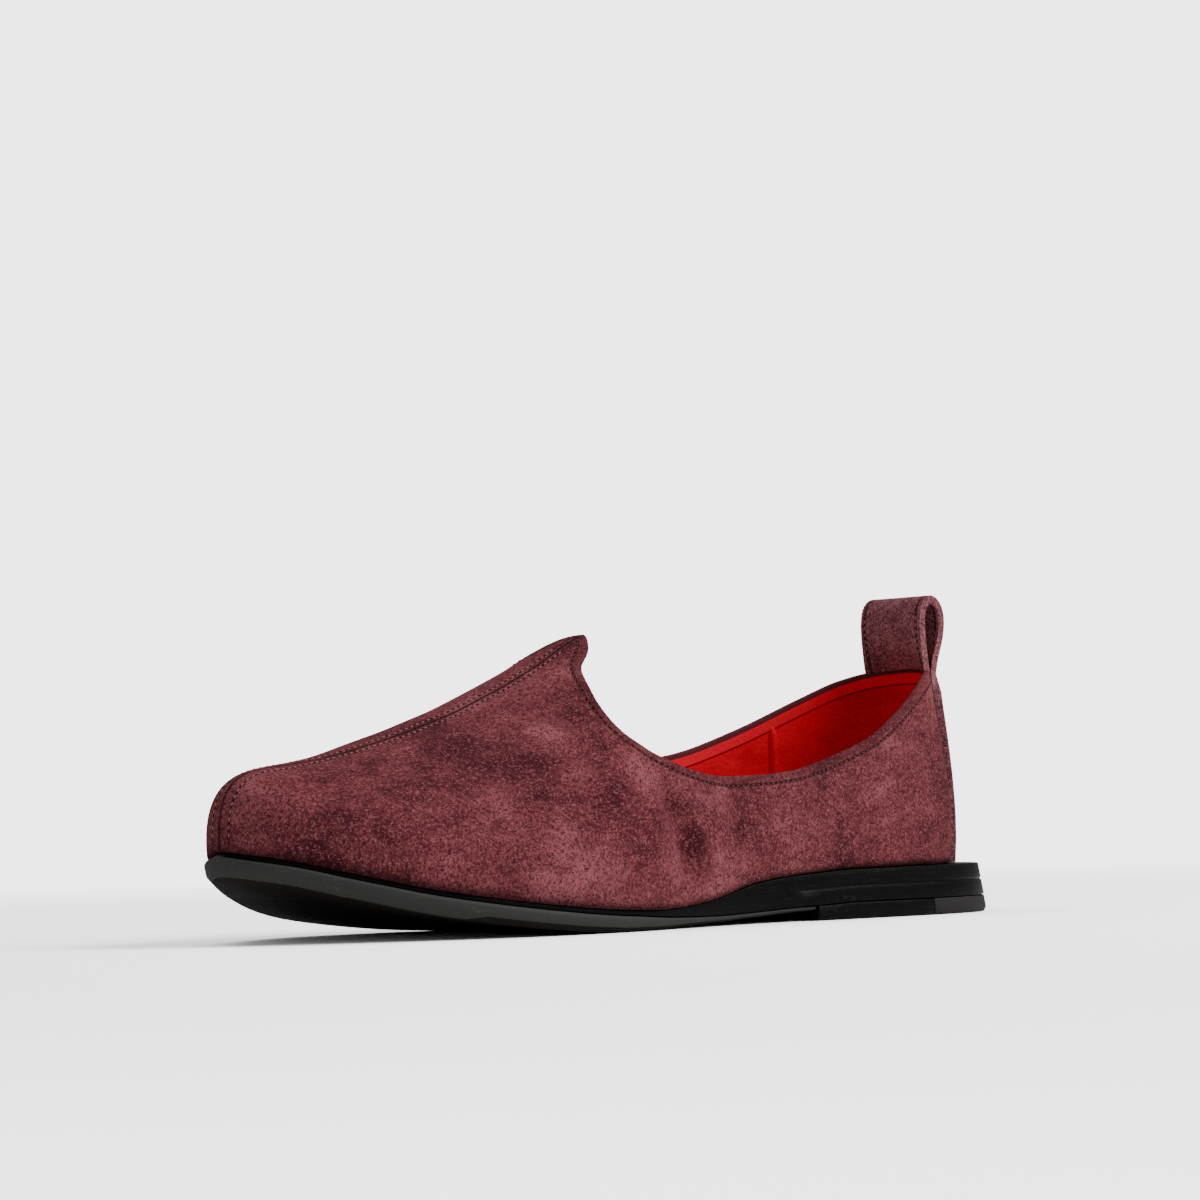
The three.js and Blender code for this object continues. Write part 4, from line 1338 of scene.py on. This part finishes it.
@dataclass
class CadCopy:
    """A CAD piece taken over with soft edges: bevel and merge in millimetres, angle in degrees."""

    node: str
    name: str
    slot: str
    bevel: float = 0.35
    angle: float = 38.0
    segments: int = 3
    merge: float = 0.002
    tread_slope: float = -0.7

    def paint_tread_shade(self, piece: Piece, material: Material) -> None:
        """Give the faces that look down a near-black colour of their own, as painted shade.

        Args:
            piece: The piece.
            material: Near-black material of those faces, standing in for shade.
        """
        piece.data.materials.append(material)
        for polygon in piece.data.polygons:
            polygon.material_index = int(polygon.normal.z < self.tread_slope)

    def make(self, material: Material) -> Piece:
        """Copy the node, merge it, round its edges and dress it.

        Args:
            material: Finish of the piece.

        Returns:
            The new piece.
        """
        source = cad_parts[self.node]
        mesh = source.data.copy()
        piece = new_piece(self.name, mesh)
        bpy.ops.object.select_all(action="DESELECT")
        piece.select_set(True)
        bpy.context.view_layer.objects.active = piece
        bpy.ops.object.mode_set(mode="EDIT")
        bpy.ops.mesh.select_all(action="SELECT")
        bpy.ops.mesh.remove_doubles(threshold=self.merge * MM)
        bpy.ops.mesh.customdata_custom_splitnormals_clear()
        bpy.ops.object.mode_set(mode="OBJECT")
        edge = piece.modifiers.new("soft_edge", "BEVEL")
        edge.width = self.bevel * MM
        edge.segments = self.segments
        edge.limit_method = "ANGLE"
        edge.angle_limit = math.radians(self.angle)
        edge.use_clamp_overlap = True
        bpy.ops.object.modifier_apply(modifier=edge.name)
        bpy.ops.object.shade_smooth_by_angle(angle=math.radians(self.angle))
        mesh.materials.clear()
        mesh.materials.append(material)
        for polygon in mesh.polygons:
            polygon.material_index = 0
        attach(piece, "root")
        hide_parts(self.node)
        return piece


@dataclass
class Loop:
    """Stitch rows of the back strap and pull loop, in millimetres."""

    half_width: float = 13.0
    middle: float = 0.0
    rays: int = 40
    outside: float = 50.0
    above_foot: float = 3.0
    below_crown: float = 6.0
    loop_depth: float = 19.0
    inner_crown: float = 9.0
    inner_start: float = 2.0

    def paths(self, strap: Piece) -> list[Path]:
        """Find the rows by rays on to the strap's faces.

        Args:
            strap: The strap.

        Returns:
            Points and directions of each row.
        """
        mesh = bmesh.new()
        mesh.from_mesh(strap.data)
        tree = BVHTree.FromBMesh(mesh)
        mesh.free()
        low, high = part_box("back_strap")
        rows = []
        off = self.half_width - STITCHES.strap_inset
        crown, loop_low = high.z - self.below_crown * MM, high.z - self.loop_depth * MM
        views = (
            (low.x - self.outside * MM, 1.0, low.z + self.above_foot * MM, crown),
            (high.x + self.outside * MM, -1.0, loop_low, crown),
            ((low.x + high.x) / 2 + self.inner_start * MM, -1.0, loop_low, high.z - self.inner_crown * MM),
        )
        for y in ((self.middle - off) * MM, (self.middle + off) * MM):
            for x, way, bottom, top in views:
                places, facing = [], []
                for z in np.linspace(bottom, top, self.rays):
                    hit, normal, _, _ = tree.ray_cast(Vector((x, y, z)), Vector((way, 0, 0)))
                    if hit is not None:
                        places.append(tuple(hit))
                        facing.append(tuple(normal))
                rows.append((np.array(places), np.array(facing)))
        return [row for row in rows if len(row[0]) > 3]


@dataclass
class Studio:
    """Pale floor and backdrop, soft lights, and the camera at the photograph's angle."""

    shift: tuple[float, float, float]
    azimuth: float = 42.0
    elevation: float = -3.1
    distance: float = 1158.07
    roll: float = 1.4
    aim: tuple[float, float] = (2.89, 96.76)
    focal: float = 117.0
    backdrop: float = 3.8
    room: float = 0.25
    paper_tone: float = 0.8
    paper_gain: float = 3.9
    paper_radius: float = 1.1
    floor_radius: float = 3.4
    floor_drop: float = 0.0001
    light_aim: tuple[float, float, float] = (0.0, 0.0, 0.04)

    def camera(self) -> None:
        """Place the camera.

        It looks from where the photograph was taken, with the photograph's slight roll.
        """
        a, e, r = (math.radians(v) for v in (self.azimuth, self.elevation, self.roll))
        back = Vector((math.sin(a) * math.cos(e), math.cos(a) * math.cos(e), math.sin(e)))
        place = (Vector((self.aim[0], 0, self.aim[1])) + back * self.distance + Vector(self.shift)) * MM
        right = (-back).cross(Vector((0, 0, 1))).normalized()
        up = right.cross(-back)
        across = right * math.cos(r) - up * math.sin(r)
        upright = right * math.sin(r) + up * math.cos(r)
        data = bpy.data.cameras.new("camera")
        data.lens = self.focal
        data.sensor_width = 36.0
        data.clip_start, data.clip_end = 0.02, 60.0
        eye = new_piece("camera", data)
        turned = Matrix((across, upright, back)).transposed().to_4x4()
        eye.matrix_world = Matrix.Translation(place) @ turned
        bpy.context.scene.camera = eye

    def floor(self) -> None:
        """Lay a pale floor.

        It fades into the backdrop all round, away from the shoe.
        """
        bpy.ops.object.select_all(action="DESELECT")
        bpy.ops.mesh.primitive_circle_add(
            vertices=96,
            radius=self.floor_radius,
            fill_type="NGON",
            location=(0, 0, -self.floor_drop),
        )
        sheet = bpy.context.object
        sheet.name = "floor"
        sheet.data.materials.append(self.paper())

    def paper(self) -> Material:
        """Pale matt paper that fades into the backdrop away from the shoe.

        Returns:
            The material.
        """
        material, book, shader = new_material("pale_floor", "")
        where = book.where()
        flat = book.add("ShaderNodeVectorMath", {0: where}, operation="LENGTH").outputs["Value"]
        seen = book.add("ShaderNodeLightPath").outputs["Is Camera Ray"]
        gain = book.maths("MULTIPLY_ADD", seen, self.paper_tone * (self.paper_gain - 1), self.paper_tone)
        uneven = book.maths("MULTIPLY_ADD", book.noise(where, 3.0), 0.02, 0.99)
        tone = book.times(gain, uneven)
        grey = book.add("ShaderNodeCombineColor", {0: tone, 1: tone, 2: tone}).outputs[0]
        book.feed(shader.inputs["Base Color"], grey)
        shader.inputs["Roughness"].default_value = 1.0
        shader.inputs["Specular IOR Level"].default_value = 0.0
        book.feed(shader.inputs["Alpha"], book.ramp(flat, self.paper_radius, 0.3))
        return material

    def light(self, name: str, place: Vector, size: float, power: float) -> None:
        """Hang a soft white area light that points at the shoe.

        Args:
            name: Name of the light.
            place: Where it hangs.
            size: Side of its square face.
            power: Its power in watts.
        """
        data = bpy.data.lights.new(name, "AREA")
        data.shape = "SQUARE"
        data.size, data.energy = size, power
        lamp = new_piece(name, data)
        lamp.location = place
        lamp.rotation_mode = "QUATERNION"
        lamp.rotation_quaternion = (Vector(self.light_aim) - place).to_track_quat("-Z", "Y")

    def lights(self) -> None:
        """Set up the lights and the surroundings.

        The surroundings are brighter to the camera than as light on the shoe.
        """
        self.light("key", Vector((-0.85, 1.15, 1.2)), 1.2, 27.0)
        self.light("top", Vector((0.2, -0.5, 1.7)), 1.2, 8.5)
        self.light("side", Vector((1.6, 0.4, 0.8)), 1.0, 0.6)
        world = bpy.data.worlds.new("studio")
        world.use_nodes = True
        book = Nodes(world.node_tree)
        seen = book.add("ShaderNodeLightPath").outputs["Is Camera Ray"]
        power = book.maths("MULTIPLY_ADD", seen, self.backdrop - self.room, self.room)
        glow = world.node_tree.nodes["Background"]
        glow.inputs[0].default_value = (1.0, 1.0, 1.0, 1)
        book.feed(glow.inputs[1], power)
        bpy.context.scene.world = world


def dress_upper(upper: Upper, nap: Tree, thread: Material, hole: Material) -> None:
    """Model the upper, its stitches and its lining's seams.

    Args:
        upper: The upper.
        nap: The nap group.
        thread: Material of the centre seam's thread.
        hole: Material of the needle holes.
    """
    suede = Suede(
        "suede",
        "suede",
        base=(0.235, 0.0545, 0.0645),
        light=(0.5, 0.15, 0.172),
        dark=(0.078, 0.0148, 0.0212),
        has_seams=True,
    )
    felt = Felt(
        "felt",
        "lining",
        lip=(0.98, 0.014, 0.04),
        middle=(0.92, 0.0045, 0.028),
        deep=(0.62, 0.0015, 0.017),
        edge=(0.12, 0.026, 0.033),
        has_lip=True,
    )
    cord = Felt("cord_felt", "lining", (0.95, 0.02, 0.05), (0.9, 0.006, 0.032), (0.6, 0.002, 0.016))
    dark_thread = Plain("dark_thread", "suede", (0.2, 0.075, 0.08))
    upper.build()
    shell = new_piece("upper_suede", upper.mesh())
    shell.data.materials.append(suede.make(nap))
    shell.data.materials.append(felt.make(nap))
    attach(shell, "root")
    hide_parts("upper")
    LOG.info("upper: %d faces", len(shell.data.polygons))

    paths = upper.stitch_paths()
    laid = (("seam_stitches", paths[::2], thread), ("collar_stitches", paths[1::2], dark_thread.make()))
    for name, lines, yarn in laid:
        rows = STITCHES.rows(name, lines, yarn, hole)
        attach(rows, "root")
        LOG.info("%s: %d faces", name, len(rows.data.polygons))
    seams = upper.lining_seams(cord.make(nap), LiningSeam())
    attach(seams, "root")


def dress_strap(middle: float, nap: Tree, thread: Material, hole: Material) -> None:
    """Model the back strap with its loop and its stitches.

    Args:
        middle: The strap's middle across the shoe, in millimetres.
        nap: The nap group.
        thread: Material of the thread.
        hole: Material of the needle holes.
    """
    loop = Loop(middle=middle)
    suede = Suede(
        "strap_suede",
        "strap",
        base=(0.32, 0.106, 0.12),
        light=(0.62, 0.26, 0.29),
        dark=(0.09, 0.026, 0.032),
        groove=(middle, loop.half_width - STITCHES.strap_inset),
    )
    strap = CadCopy("back_strap", "pull_loop", "strap", 0.55, 40.0).make(suede.make(nap))
    rows = STITCHES.rows("loop_stitches", loop.paths(strap), thread, hole)
    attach(rows, "root")
    LOG.info("pull loop: %d faces", len(strap.data.polygons))


def dress_sole(nap: Tree) -> None:
    """Model the layers of the sole, the heel and the insole.

    Args:
        nap: The nap group.
    """
    black = ((0.0035, 0.0035, 0.0035), (0.045, 0.042, 0.04), 0.32, 0.04)
    edge = SoleEdge("black_edge", "black_sole", *black).make()
    lift = SoleEdge("heel_edge", "heel_black", *black).make()
    grey = SoleEdge("grey_edge", "grey_sole", (0.062, 0.063, 0.061), (0.17, 0.16, 0.15), 0.62, 0.0).make()
    tip = SoleEdge("heel_rubber", "tip_rubber", (0.038, 0.035, 0.036), (0.09, 0.085, 0.085), 0.55, 0.02)
    # Partly painted shade: the outsole's underside is a near-black brown, darker than the leather, standing
    # in for the shade under the sole.
    tread = SoleEdge("tread", "grey_sole", (0.016, 0.0135, 0.012), (0.06, 0.052, 0.045), 0.7, 0.0, 0.1).make()
    sock = Felt("sock_felt", "lining", (0.9, 0.012, 0.035), (0.7, 0.002, 0.018), (0.42, 0.001, 0.01))
    sole = (
        (CadCopy("midsole", "midsole_edge", "black_sole"), edge),
        (CadCopy("outsole", "outsole_edge", "grey_sole", 0.5), grey),
        (CadCopy("heel_lift", "heel_lift_edge", "heel_black"), lift),
        (CadCopy("heel_tip", "heel_tip_edge", "tip_rubber"), tip.make()),
        (CadCopy("insole", "insole_felt", "lining", 0.6), sock.make(nap)),
    )
    for piece, finish in sole:
        made = piece.make(finish)
        if piece.node == "outsole":
            piece.paint_tread_shade(made, tread)
        LOG.info("%s: %d faces", made.name, len(made.data.polygons))


def main() -> None:
    """Build, dress and light the shoe.

    The last's middle is set where the CAD's sole and strap have theirs.
    """
    logging.basicConfig(level=logging.INFO, format="%(message)s")
    strap_low, strap_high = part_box("back_strap")
    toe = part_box("outsole")[1].x / MM
    upper = Upper((toe - Last.sole_length / 2, (strap_low.y + strap_high.y) / 2 / MM, 0.0))
    nap = Nap().group()
    thread = Plain("thread", "suede", (0.5, 0.2, 0.2)).make()
    # Painted shade: near-black dots stand for the shade inside the needle holes.
    hole = Plain("needle_hole", "suede", (0.014, 0.004, 0.005), 1.0).make()
    dress_upper(upper, nap, thread, hole)
    dress_strap(upper.shift[1], nap, thread, hole)
    dress_sole(nap)
    studio = Studio(upper.shift)
    studio.floor()
    studio.lights()
    studio.camera()


if __name__ == "__main__":
    main()
